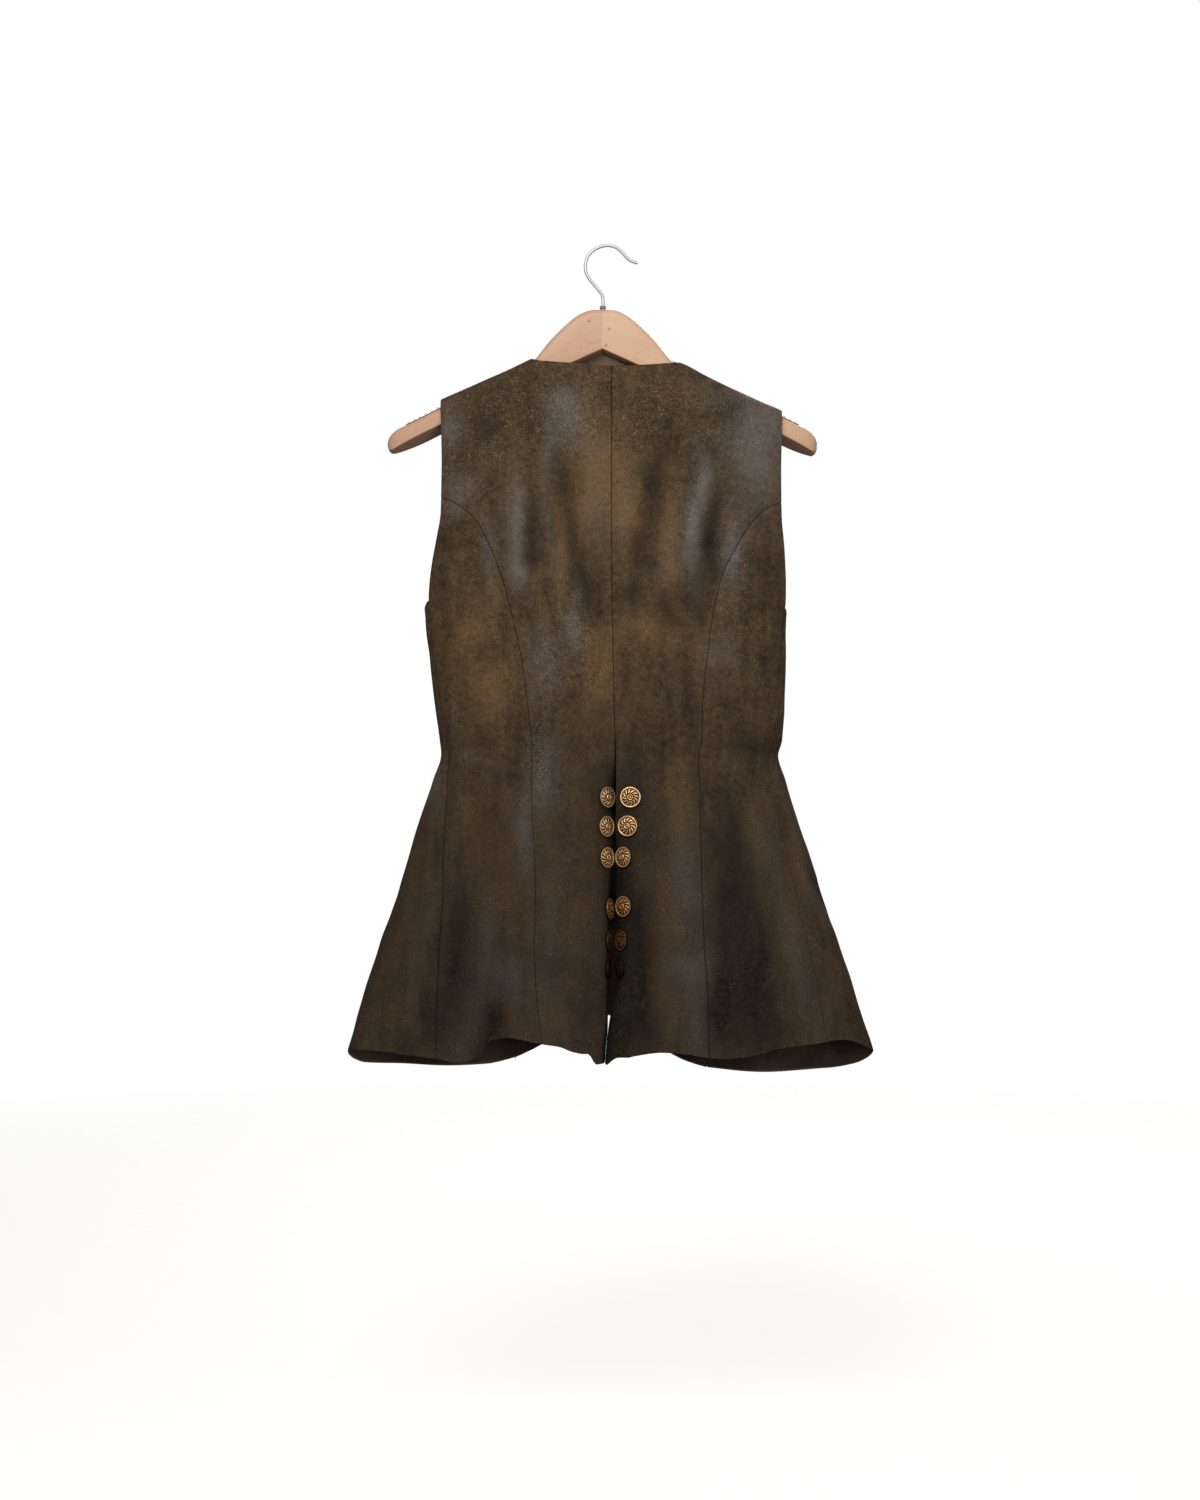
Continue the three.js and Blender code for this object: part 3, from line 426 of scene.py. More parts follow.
def shares(count, first=True, last=True):
    """Even shares from 0 to 1, closer at the ends asked for."""
    parts = [np.linspace(0, 1, count + 1)]
    if first:
        parts.append(NEAR_EDGE / count)
    if last:
        parts.append(1 - NEAR_EDGE / count)
    return np.sort(np.concatenate(parts))


def share_of(values):
    """Each value as a share of the way from the first to the last."""
    return (values - values[0]) / (values[-1] - values[0])


def patch(left, right, top, bottom, down, over):
    """Coons patch of turns and heights: the two ways of blending opposite edges, less the corners' blend."""
    over = over[None, :, None]
    down = down[:, None, None]
    sides = mix(left[:, None], right[:, None], over)
    ends = mix(top[None], bottom[None], down)
    corners = mix(mix(top[0], top[-1], over), mix(bottom[0], bottom[-1], over), down)
    return sides + ends - corners


def shoulder_edge(armhole, princess):
    """Outer edge of a panel that starts at the shoulder: rows close together round the turn, then even."""
    fine = curve(armhole, np.linspace(0, 1, 300))
    top, last = fine[0, 1], fine[-1, 1]
    heights = np.concatenate([
        top - SHOULDER_ROUND * (1 - np.cos(TURN_ANGLES)),
        np.linspace(top - SHOULDER_ROUND, last, ARMHOLE_ROWS + 1)[1:-1],
    ])
    upper = np.stack([np.interp(-heights, -fine[:, 1], fine[:, 0]), heights], axis=1)
    return np.vstack([upper, curve(princess, shares(PRINCESS_ROWS, first=False))])


def top_places(side, end_x, columns):
    """Places across a top edge: along the shoulder to the neck point, then along the neck to its end."""
    shoulder = mix(TIP[side], NECK_POINT[side], shares(SHOULDER_COLUMNS, last=False))
    neck = mix(NECK_POINT[side], end_x, (np.arange(columns) + 1) / columns) if columns else []
    return np.concatenate([shoulder, neck])


def back_panel(side):
    """From the armhole and the princess seam to the middle seam and the rolled edge of the vent."""
    outer = shoulder_edge(ARMHOLE_BACK[side], BACK_PRINCESS[side])
    down = share_of(outer[:, 1])
    top_x = top_places(side, strip_start(side, NECK_Z)[0], NECK_COLUMNS)
    on_shoulder = np.arange(len(top_x)) <= SHOULDER_COLUMNS + len(NEAR_EDGE)
    top_z = np.where(on_shoulder, shoulder_line("z", top_x), back_neck("z", top_x))
    top = np.stack([turn_at(top_x, top_z), top_z], axis=1)
    over = share_of(top[:, 0])
    hem_turn = mix(outer[-1, 0], turn_at(strip_start(side, STRIP_HEM_Z), BACK_HEM_Z)[0], over)
    hem_z = back_hem("z", body_point(hem_turn, BACK_HEM_Z)[:, 0])
    hem_z[0] = outer[-1, 1]
    bottom = np.stack([hem_turn, hem_z], axis=1)
    inner_z = mix(top_z[-1], hem_z[-1], down)
    inner = np.stack([turn_at(strip_start(side, inner_z), inner_z), inner_z], axis=1)
    grid = patch(outer, inner, top, bottom, down, over)
    flat = body_point(grid[..., 0], grid[..., 1])
    flat_normals = body_normal(grid[..., 0], grid[..., 1])
    start, start_normal = flat[:, -1], flat_normals[:, -1]
    t = VENT_STRIP * (1 - shares(STRIP_COLUMNS, first=False))[1:]
    x, depth, turn = strip_course(side, start[:, 2], t)
    neck_rise = (back_neck("z", x) - back_neck("z", start[:, :1])) * (1 - ease(0, 0.12, down))[:, None]
    drop, inner_t, outer_t = VENT_CORNER[side]
    corner = drop * (1 - ease(inner_t, outer_t, t)) * ease(0.8, 1, down)[:, None] ** 2
    z = start[:, 2:] + neck_rise - corner
    strip = np.stack([x, start[:, 1:2] + depth, z], axis=-1)
    sign = 1 if side == "left" else -1
    lean = np.broadcast_to(start_normal[:, 2:], x.shape)
    strip_normals = unit(np.stack([sign * np.sin(turn), -np.cos(turn), lean], axis=-1))
    points = np.concatenate([flat, strip], axis=1)
    normals = np.concatenate([flat_normals, strip_normals], axis=1)
    sewn_rows = np.arange(len(outer)) >= len(outer) - PRINCESS_ROWS - len(NEAR_EDGE)
    seams = {"left": sewn_rows, "right": start[:, 2] > SEWN_TO_Z, "top": np.pad(on_shoulder, (0, len(t)))}
    return points, normals, seams


def back_side(side):
    """Between the princess seam and the side seam, under the armhole."""
    down = shares(PRINCESS_ROWS)
    over = shares(BACK_SIDE_COLUMNS)
    princess = curve(BACK_PRINCESS[side], down)
    seam = curve(SIDE_SEAM[side], down)
    under = curve(ARMHOLE_UNDER[side], over)
    turn = mix(princess[-1, 0], seam[-1, 0], over)
    z = back_hem("z", body_point(turn, BACK_HEM_Z)[:, 0])
    z[0], z[-1] = princess[-1, 1], seam[-1, 1]
    grid = patch(princess, seam, under, np.stack([turn, z], axis=1), down, over)
    points = body_point(grid[..., 0], grid[..., 1])
    sewn = np.ones(len(down), bool)
    return points, body_normal(grid[..., 0], grid[..., 1]), {"left": sewn, "right": sewn, "top": over < 0}


def front_side(side):
    """From the side seam round the body's side to the front's princess seam."""
    down = shares(PRINCESS_ROWS)
    over = shares(FRONT_SIDE_COLUMNS)
    sign = -1 if side == "left" else 1
    seam = curve(SIDE_SEAM[side], down)
    princess = curve(FRONT_PRINCESS[side], down)
    last = princess[0]
    lowest = np.array([sign * 90, ARMHOLE_LOW[side]], float)
    rising = np.array([sign * 106, lowest[1] + 14])
    upper = mix(rising, last, np.array([0.6, 0.5]))
    under = curve([seam[0], lowest, rising, upper, last], over)
    turn = mix(seam[-1, 0], princess[-1, 0], over)
    x = body_point(turn, STRIP_HEM_Z)[:, 0]
    z = mix(back_hem("z", x), front_hem[side]("z", x), ease(84, 97, np.abs(turn)))
    z[0], z[-1] = seam[-1, 1], princess[-1, 1]
    grid = patch(seam, princess, under, np.stack([turn, z], axis=1), down, over)
    points = body_point(grid[..., 0], grid[..., 1])
    sewn = np.ones(len(down), bool)
    return points, body_normal(grid[..., 0], grid[..., 1]), {"left": sewn, "right": sewn, "top": over < 0}


def front_panel(side):
    """From its armhole and princess seam past the middle by the lap, the left one under the right one."""
    sign = -1 if side == "left" else 1
    outer = shoulder_edge(ARMHOLE_FRONT[side], FRONT_PRINCESS[side])
    down = share_of(outer[:, 1])
    edge_x = FRONT_MIDDLE - sign * FRONT_LAP

    def wrapped(turn):
        """Turns kept on one side of the middle of the front."""
        return np.where(sign * turn < 0, turn + sign * 360, turn)

    neck = shares(FRONT_COLUMNS, first=False)[1:]
    shoulder = top_places(side, edge_x, 0)
    top_x = np.concatenate([shoulder, mix(NECK_POINT[side], edge_x, neck)])
    on_shoulder = np.arange(len(top_x)) < len(shoulder)
    top_z = np.where(on_shoulder, shoulder_line("z", top_x), front_neck("z", top_x))
    top = np.stack([wrapped(turn_at(top_x, top_z, "front")), top_z], axis=1)
    over = share_of(top[:, 0])
    hem_turn = mix(outer[-1, 0], wrapped(turn_at(edge_x, OPENING_HEM_Z, "front")), over)
    hem_z = front_hem[side]("z", body_point(hem_turn, FRONT_HEM_Z)[:, 0])
    hem_z[0] = outer[-1, 1]
    bottom = np.stack([hem_turn, hem_z], axis=1)
    inner_z = mix(top_z[-1], hem_z[-1], down)
    inner = np.stack([wrapped(turn_at(edge_x, inner_z, "front")), inner_z], axis=1)
    grid = patch(outer, inner, top, bottom, down, over)
    points = body_point(grid[..., 0], grid[..., 1])
    normals = body_normal(grid[..., 0], grid[..., 1])
    if side == "left":
        under_lap = LAP_STEP * ease(FRONT_MIDDLE - 34, FRONT_MIDDLE - 18, points[..., :1])
        points = points - normals * under_lap
    sewn_rows = np.arange(len(outer)) >= len(outer) - PRINCESS_ROWS - len(NEAR_EDGE)
    return points, normals, {"left": sewn_rows, "right": sewn_rows & False, "top": on_shoulder}


SWELL_CELLS = 160


def swell(x, z, size, seed):
    """Smooth random height from -1 to 1: random values size mm apart, blended by the smooth step."""
    values = np.random.default_rng(seed).uniform(-1, 1, (SWELL_CELLS, SWELL_CELLS))
    u = x / size + 80
    v = z / size + 130
    i, j = np.floor(u).astype(int), np.floor(v).astype(int)
    s, t = ease(0, 1, u - i), ease(0, 1, v - j)
    i, j, right, above = (k % SWELL_CELLS for k in (i, j, i + 1, j + 1))
    low = mix(values[i, j], values[right, j], s)
    high = mix(values[i, above], values[right, above], s)
    return mix(low, high, t)


# Creases of the leather: middle across and down, lean from the upright in degrees, half length, half width
# and how far each stands out
CREASES = [
    [-38, -300, -12, 75, 8, -1.8],
    [-80, -290, -3, 45, 8, -1.2],
    [-94, -295, 3, 55, 10, 1.6],
    [-60, -290, -9, 60, 9, 1.3],
    [-114, -318, -14, 50, 8, -1.2],
    [-12, -255, 0, 75, 16, 1.2],
    [44, -265, 13, 80, 10, -1.8],
    [66, -305, 15, 60, 9, 1.2],
    [81, -260, 18, 30, 6, -0.8],
    [88, -290, 14, 62, 8, 1.9],
    [106, -310, 13, 62, 9, -2.3],
    [128, -318, 16, 44, 9, 1.4],
    [20, -275, 4, 50, 12, 1.0],
    [22, -365, -8, 30, 12, -0.8],
    [62, -375, 20, 24, 10, -0.8],
    [-140, -518, 84, 30, 5, -0.8],
    [-128, -534, 98, 28, 5, 0.6],
    [144, -522, 96, 32, 5, -0.9],
    [132, -540, 82, 30, 5, 0.6],
    [-34, -512, 94, 30, 7, -0.5],
    [44, -498, 84, 30, 7, -0.5],
    [146, -700, -9, 130, 13, -2.4],
    [182, -690, -13, 110, 11, 1.5],
    [197, -620, -14, 75, 5, 1.2],
    [218, -682, -28, 48, 5, 1.8],
    [227, -678, -28, 46, 5, -1.5],
    [-126, -750, 7, 80, 9, 1.6],
    [-196, -740, 9, 80, 12, 1.0],
    [-162, -760, 7, 75, 11, -1.7],
    [88, -720, -4, 110, 12, 0.9],
    [-60, -700, 3, 110, 12, 0.8],
]


def crease_height(x, z):
    """Sum of bell curves across each crease, faded at its ends by a fourth power."""
    total = 0
    for middle_x, middle_z, lean, half_length, half_width, out in CREASES:
        c, s = math.cos(math.radians(lean)), math.sin(math.radians(lean))
        along = ((x - middle_x) * s + (z - middle_z) * c) / half_length
        across = ((x - middle_x) * c - (z - middle_z) * s) / half_width
        total = total + out * np.exp(-(across**2) - along**4)
    return total


# Wear of the dyed leather, in four kinds, with painted highlight on crease ridges among the pale marks and
# painted shade in crease hollows and along the vent among the dark ones: middle across and down, half width
# and half height, and strength
PALE_BURNISH_AND_HIGHLIGHT = [
    [-42, -170, 17, 24, 0.75], [-33, -196, 13, 18, 0.4], [-58, -210, 8, 34, 0.5], [-163, -186, 11, 24, 0.8],
    [-152, -262, 16, 16, 0.6], [-94, -288, 9, 40, 0.65], [-90, -342, 11, 16, 0.7], [152, -205, 26, 56, 1.0],
    [172, -178, 16, 22, 0.5], [97, -238, 9, 24, 0.7], [87, -298, 8, 44, 0.85], [127, -318, 10, 36, 0.75],
    [140, -152, 34, 10, 0.5], [-122, -322, 8, 34, 0.5], [-64, -428, 15, 40, 0.5], [-66, -545, 13, 34, 0.7],
    [-83, -606, 8, 36, 0.8], [-34, -392, 9, 30, 0.7], [-105, -762, 16, 26, 0.6], [78, -650, 14, 44, 0.4],
    [82, -752, 22, 18, 0.4], [118, -420, 16, 30, 0.35], [-178, -556, 9, 26, 0.6],
]
OCHRE_WEAR = [
    [-14, -235, 20, 56, 1.0], [20, -278, 17, 34, 0.9], [12, -226, 22, 30, 0.6], [-46, -318, 8, 44, 0.7],
    [62, -318, 9, 36, 0.8], [70, -268, 8, 30, 0.5], [-140, -398, 20, 24, 0.8], [-124, -452, 26, 26, 0.8],
    [40, -402, 28, 20, 0.8], [-8, -432, 16, 34, 0.7], [-14, -474, 16, 20, 0.6], [75, -588, 14, 40, 0.7],
    [-100, -660, 20, 40, 0.4], [-124, -745, 8, 60, 0.4], [190, -700, 14, 60, 0.45], [230, -780, 18, 50, 0.3],
    [-118, -352, 20, 24, 0.4], [150, -610, 12, 60, 0.35], [66, -700, 12, 50, 0.4], [-28, -700, 14, 60, 0.2],
    [50, -775, 24, 34, 0.35], [-62, -640, 13, 50, 0.3], [-226, -775, 16, 50, 0.2],
    [200, -630, 12, 50, 0.35], [-24, -596, 14, 40, 0.15], [-142, -596, 18, 36, 0.3],
    [-52, -802, 26, 16, 0.3], [-190, -650, 12, 50, 0.15],
]
DARK_WEAR_AND_SHADE = [
    [-48, -246, 7, 22, 0.4], [-38, -300, 7, 40, 0.4], [-24, -355, 9, 26, 0.6], [-79, -290, 8, 40, 0.5],
    [-70, -324, 12, 11, 0.7], [56, -215, 10, 34, 0.4], [45, -268, 10, 34, 0.4], [28, -322, 9, 32, 0.45],
    [22, -362, 12, 12, 0.6], [62, -376, 12, 10, 0.7], [112, -268, 8, 26, 0.5], [104, -312, 9, 30, 0.85],
    [93, -372, 11, 16, 0.7], [128, -172, 13, 20, 0.6], [-128, -178, 22, 26, 0.5], [-165, -312, 9, 14, 0.8],
    [-132, -332, 13, 16, 0.6], [162, -330, 13, 30, 0.5], [14, -580, 26, 60, 0.8], [20, -735, 24, 90, 0.45],
    [120, -690, 18, 74, 0.5], [134, -784, 22, 50, 0.4], [115, -792, 12, 44, 0.75], [160, -740, 12, 60, 0.25],
    [-146, -745, 24, 76, 0.5], [-184, -790, 10, 44, 0.4], [-116, -806, 10, 24, 0.7], [86, -470, 8, 24, 0.5],
    [-20, -770, 12, 60, 0.4], [150, -520, 22, 12, 0.5], [40, -800, 12, 40, 0.5],
]
SPECKLED_WEAR = [
    [-110, -152, 58, 30, 1.0], [-38, -158, 56, 40, 1.0], [-150, -214, 34, 46, 0.8], [62, -150, 56, 26, 0.9],
    [124, -172, 50, 40, 1.0], [30, -176, 40, 26, 0.9], [-70, -520, 18, 52, 1.0],
    [-112, -195, 24, 40, 0.9], [132, -345, 16, 60, 0.9], [-132, -340, 16, 60, 0.6], [-60, -430, 20, 40, 0.7],
    [-24, -430, 14, 50, 0.8], [-44, -365, 14, 30, 0.6], [80, -250, 16, 40, 0.5],
]


def mark_strength(marks, x, z):
    """Sum of soft ovals, their outlines pushed about by random swells, at most 1."""
    x = x + 4 * swell(x, z, 30, 11) + 2 * swell(x, z, 11, 12)
    z = z + 12 * swell(x, z, 34, 13) + 4 * swell(x, z, 13, 14)
    total = 0
    for middle_x, middle_z, half_width, half_height, strength in marks:
        away = ((x - middle_x) / half_width) ** 2 + ((z - middle_z) / half_height) ** 2
        total = total + strength * np.exp(-away)
    return np.clip(total, 0, 1)


def hex_colour(text):
    """sRGB hex as linear red, green, blue and 1."""
    srgb = np.array([int(text[i : i + 2], 16) for i in (1, 3, 5)]) / 255
    linear = np.where(srgb <= 0.04045, srgb / 12.92, ((srgb + 0.055) / 1.055) ** 2.4)
    return (*linear.tolist(), 1.0)


def add(tree, kind, values=None, links=None, stops=(), **settings):
    """One node of a material, with its settings, the values of its sockets, its links and the places and
    colours of its ramp."""
    made = tree.nodes.new(kind)
    for name, value in settings.items():
        setattr(made, name, value)
    for socket, value in (values or {}).items():
        made.inputs[socket].default_value = value
    for socket, source in (links or {}).items():
        tree.links.new(source, made.inputs[socket])
    if stops:
        elements = made.color_ramp.elements
        while len(elements) < len(stops):
            elements.new(0.5)
        for element, (position, colour) in zip(elements, stops):
            element.position = position
            element.color = hex_colour(colour)
    return made


def start_material(name):
    """An empty material, its tree and its surface shader."""
    material = bpy.data.materials.new(name)
    material.use_nodes = True
    tree = material.node_tree
    tree.nodes.clear()
    shader = add(tree, "ShaderNodeBsdfPrincipled")
    add(tree, "ShaderNodeOutputMaterial", links={"Surface": shader.outputs[0]})
    return material, tree, shader


def waxed_nubuck():
    """Nubuck: cowhide buffed to a short nap, dyed brown, waxed and rubbed. It gives the eye a matt brown
    mottled with russet, with blue-grey burnished places that also carry painted highlight on the crease
    ridges, ochre ones where the dye is thin, dark ones that are partly painted shade, and fine pale speckles."""
    material, tree, shader = start_material("waxed_nubuck_outer")
    place = add(tree, "ShaderNodeTexCoord").outputs["Object"]
    wear_and_shade = add(tree, "ShaderNodeAttribute", attribute_name="wear_and_shade")
    parts = add(tree, "ShaderNodeSeparateColor", links={0: wear_and_shade.outputs["Color"]})
    edge = add(tree, "ShaderNodeAttribute", attribute_name="edge")
    # Mottling of the dye: clouds about 30 mm across, upright streaks about 12 mm wide, and finer clouds about
    # 6 mm across
    here = {"Vector": place}
    cloud = add(tree, "ShaderNodeTexNoise", {"Scale": 32.0, "Detail": 5.0, "Roughness": 0.62}, here)
    tall = add(tree, "ShaderNodeMapping", {"Scale": (1.0, 1.0, 0.2)}, here)
    streak = add(tree, "ShaderNodeTexNoise", {"Scale": 80.0, "Detail": 4.0}, {"Vector": tall.outputs[0]})
    fine = add(tree, "ShaderNodeTexNoise", {"Scale": 170.0, "Detail": 4.0, "Roughness": 0.7}, here)
    # Nap and speckle, drawn about 1.6 mm across so that they show: a real nap is ten times finer
    nap = add(tree, "ShaderNodeTexNoise", {"Scale": 620.0, "Detail": 3.0, "Roughness": 0.85}, here)
    sums = [(cloud, 0.3), (streak, 0.32), (fine, 0.52)]
    total = None
    for texture, weight in sums:
        links = {0: texture.outputs[0]}
        if total:
            links[2] = total
        step = add(tree, "ShaderNodeMath", {1: weight}, links, operation="MULTIPLY_ADD")
        if not total:
            step.inputs[2].default_value = 0.0
        total = step.outputs[0]
    dyes = [(0.4, "#291F16"), (0.55, "#443627"), (0.66, "#564631"), (0.8, "#6E5B43")]
    colour = add(tree, "ShaderNodeValToRGB", links={0: total}, stops=dyes).outputs[0]
    broken = add(tree, "ShaderNodeMapRange", {1: 0.3, 2: 0.62, 3: 0.62, 4: 1.0}, {0: fine.outputs[0]})
    speckle = add(tree, "ShaderNodeMapRange", {1: 0.55, 2: 0.65}, {0: nap.outputs[0]})
    # Speckles gather in clumps about 13 mm across, and so does the russet
    clump = add(tree, "ShaderNodeTexNoise", {"Scale": 75.0, "Detail": 3.0, "Roughness": 0.6}, here)
    gather = add(tree, "ShaderNodeMapRange", {1: 0.42, 2: 0.6, 3: 0.12, 4: 1.0}, {0: clump.outputs[0]})
    sources = {0: speckle.outputs[0], 1: gather.outputs[0]}
    freckle = add(tree, "ShaderNodeMath", {}, sources, operation="MULTIPLY")
    pits = add(tree, "ShaderNodeMapRange", {1: 0.47, 2: 0.36}, {0: nap.outputs[0]})
    russet = add(tree, "ShaderNodeMapRange", {1: 0.44, 2: 0.6}, {0: clump.outputs[0]})
    # The pale layer also carries painted highlight on the crease ridges, and the dark layer painted shade:
    # the skirt, the sides, the vent's fold and the crease hollows
    layers = [
        (russet.outputs[0], broken.outputs[0], 0.34, "#573C28"),
        (parts.outputs[1], broken.outputs[0], 0.85, "#745A3C"),
        (parts.outputs[0], broken.outputs[0], 0.85, "#69635E"),
        (parts.outputs[2], broken.outputs[0], 0.74, "#17130F"),
        (wear_and_shade.outputs["Alpha"], freckle.outputs[0], 0.5, "#8C7D6B"),
        (wear_and_shade.outputs["Alpha"], pits.outputs[0], 0.5, "#2A2019"),
    ]
    for mask, breakup, strength, hue in layers:
        part = add(tree, "ShaderNodeMath", {}, {0: mask, 1: breakup}, operation="MULTIPLY")
        amount = add(tree, "ShaderNodeMath", {1: strength}, {0: part.outputs[0]}, operation="MULTIPLY")
        mixed = add(
            tree, "ShaderNodeMix", {7: hex_colour(hue)}, {0: amount.outputs[0], 6: colour}, data_type="RGBA"
        )
        colour = mixed.outputs[2]
    # The nap's light and dark over everything, and the dark line that a seam draws
    shade = add(tree, "ShaderNodeMapRange", {1: 0.3, 2: 0.7, 3: 0.62, 4: 1.44}, {0: nap.outputs[0]})
    line = add(tree, "ShaderNodeMapRange", {1: 0.0, 2: 0.1, 3: 0.42, 4: 1.0}, {0: edge.outputs["Fac"]})
    both = add(tree, "ShaderNodeMath", {}, {0: shade.outputs[0], 1: line.outputs[0]}, operation="MULTIPLY")
    tone = add(tree, "ShaderNodeCombineColor", {}, {n: both.outputs[0] for n in range(3)})
    final = add(
        tree,
        "ShaderNodeMix",
        {0: 1.0},
        {6: colour, 7: tone.outputs[0]},
        data_type="RGBA",
        blend_type="MULTIPLY",
        clamp_result=False,
    )
    tree.links.new(final.outputs[2], shader.inputs["Base Color"])
    # Burnished places are smoother than the nap round them
    polish = add(tree, "ShaderNodeMapRange", {3: 0.86, 4: 0.56}, {0: parts.outputs[0]})
    tree.links.new(polish.outputs[0], shader.inputs["Roughness"])
    shader.inputs["Specular IOR Level"].default_value = 0.18
    grain = {0: fine.outputs[0], 2: nap.outputs[0]}
    height = add(tree, "ShaderNodeMath", {1: 0.6}, grain, operation="MULTIPLY_ADD")
    bump = add(tree, "ShaderNodeBump", {"Strength": 0.35, "Distance": 0.0007}, {"Height": height.outputs[0]})
    tree.links.new(bump.outputs[0], shader.inputs["Normal"])
    return material


def flesh_side():
    """The leather's inside: the split side of the hide, unfinished. It gives the eye a dull, greyer brown
    with loose fibres."""
    material, tree, shader = start_material("leather_flesh_side")
    place = add(tree, "ShaderNodeTexCoord").outputs["Object"]
    here = {"Vector": place}
    # Fibre bundles about 2 mm across, and tanning clouds about 25 mm across
    cloud = add(tree, "ShaderNodeTexNoise", {"Scale": 40.0, "Detail": 4.0}, here)
    fibre = add(tree, "ShaderNodeTexNoise", {"Scale": 480.0, "Detail": 3.0, "Roughness": 0.8}, here)
    sources = {0: fibre.outputs[0], 2: cloud.outputs[0]}
    both = add(tree, "ShaderNodeMath", {1: 0.5}, sources, operation="MULTIPLY_ADD")
    browns = [(0.5, "#453730"), (0.95, "#6B5A52")]
    ramp = add(tree, "ShaderNodeValToRGB", links={0: both.outputs[0]}, stops=browns)
    # Painted light and shade: it is paler at the neck and darker towards the hem
    height_parts = add(tree, "ShaderNodeSeparateXYZ", links={0: place})
    painted_light_by_height = add(tree, "ShaderNodeMapRange", {1: -0.8, 2: -0.12, 3: 0.5, 4: 1.9}, {0: height_parts.outputs["Z"]})
    tone = add(tree, "ShaderNodeCombineColor", {}, {n: painted_light_by_height.outputs[0] for n in range(3)})
    final = add(
        tree,
        "ShaderNodeMix",
        {0: 1.0},
        {6: ramp.outputs[0], 7: tone.outputs[0]},
        data_type="RGBA",
        blend_type="MULTIPLY",
    )
    # The cut edge is rubbed lighter
    wear_and_shade = add(tree, "ShaderNodeAttribute", attribute_name="wear_and_shade")
    rim = add(tree, "ShaderNodeMapRange", {1: 0.2, 2: 0.6, 3: 0.0, 4: 0.9}, {0: wear_and_shade.outputs["Alpha"]})
    rimmed = add(
        tree,
        "ShaderNodeMix",
        {7: hex_colour("#7A6654")},
        {0: rim.outputs[0], 6: final.outputs[2]},
        data_type="RGBA",
    )
    tree.links.new(rimmed.outputs[2], shader.inputs["Base Color"])
    shader.inputs["Roughness"].default_value = 0.95
    shader.inputs["Specular IOR Level"].default_value = 0.2
    bump = add(tree, "ShaderNodeBump", {"Strength": 0.4, "Distance": 0.0008}, {"Height": fibre.outputs[0]})
    tree.links.new(bump.outputs[0], shader.inputs["Normal"])
    return material


def antique_brass():
    """Cast brass, darkened in a bath and rubbed bright on what stands up. It gives the eye golden ridges over
    brown hollows."""
    material, tree, shader = start_material("antique_brass_cast")
    place = add(tree, "ShaderNodeTexCoord").outputs["Object"]
    relief = add(tree, "ShaderNodeAttribute", attribute_name="relief")
    # Patina in patches about 2.4 mm across
    blotch = {"Scale": 420.0, "Detail": 4.0, "Roughness": 0.7}
    patina = add(tree, "ShaderNodeTexNoise", blotch, {"Vector": place})
    sources = {0: patina.outputs[0], 2: relief.outputs["Fac"]}
    height = add(tree, "ShaderNodeMath", {1: 0.3}, sources, operation="MULTIPLY_ADD")
    brasses = [(0.3, "#1A1009"), (0.5, "#6A4526"), (0.7, "#D2A269"), (0.95, "#FFE4B4")]
    ramp = add(tree, "ShaderNodeValToRGB", links={0: height.outputs[0]}, stops=brasses)
    tree.links.new(ramp.outputs[0], shader.inputs["Base Color"])
    dull = add(tree, "ShaderNodeMapRange", {1: 0.4, 2: 0.95, 3: 0.6, 4: 0.3}, {0: height.outputs[0]})
    tree.links.new(dull.outputs[0], shader.inputs["Roughness"])
    shader.inputs["Metallic"].default_value = 0.72
    bump = add(tree, "ShaderNodeBump", {"Strength": 0.3, "Distance": 0.0003}, {"Height": patina.outputs[0]})
    tree.links.new(bump.outputs[0], shader.inputs["Normal"])
    return material


KNOT_Y = -7.8


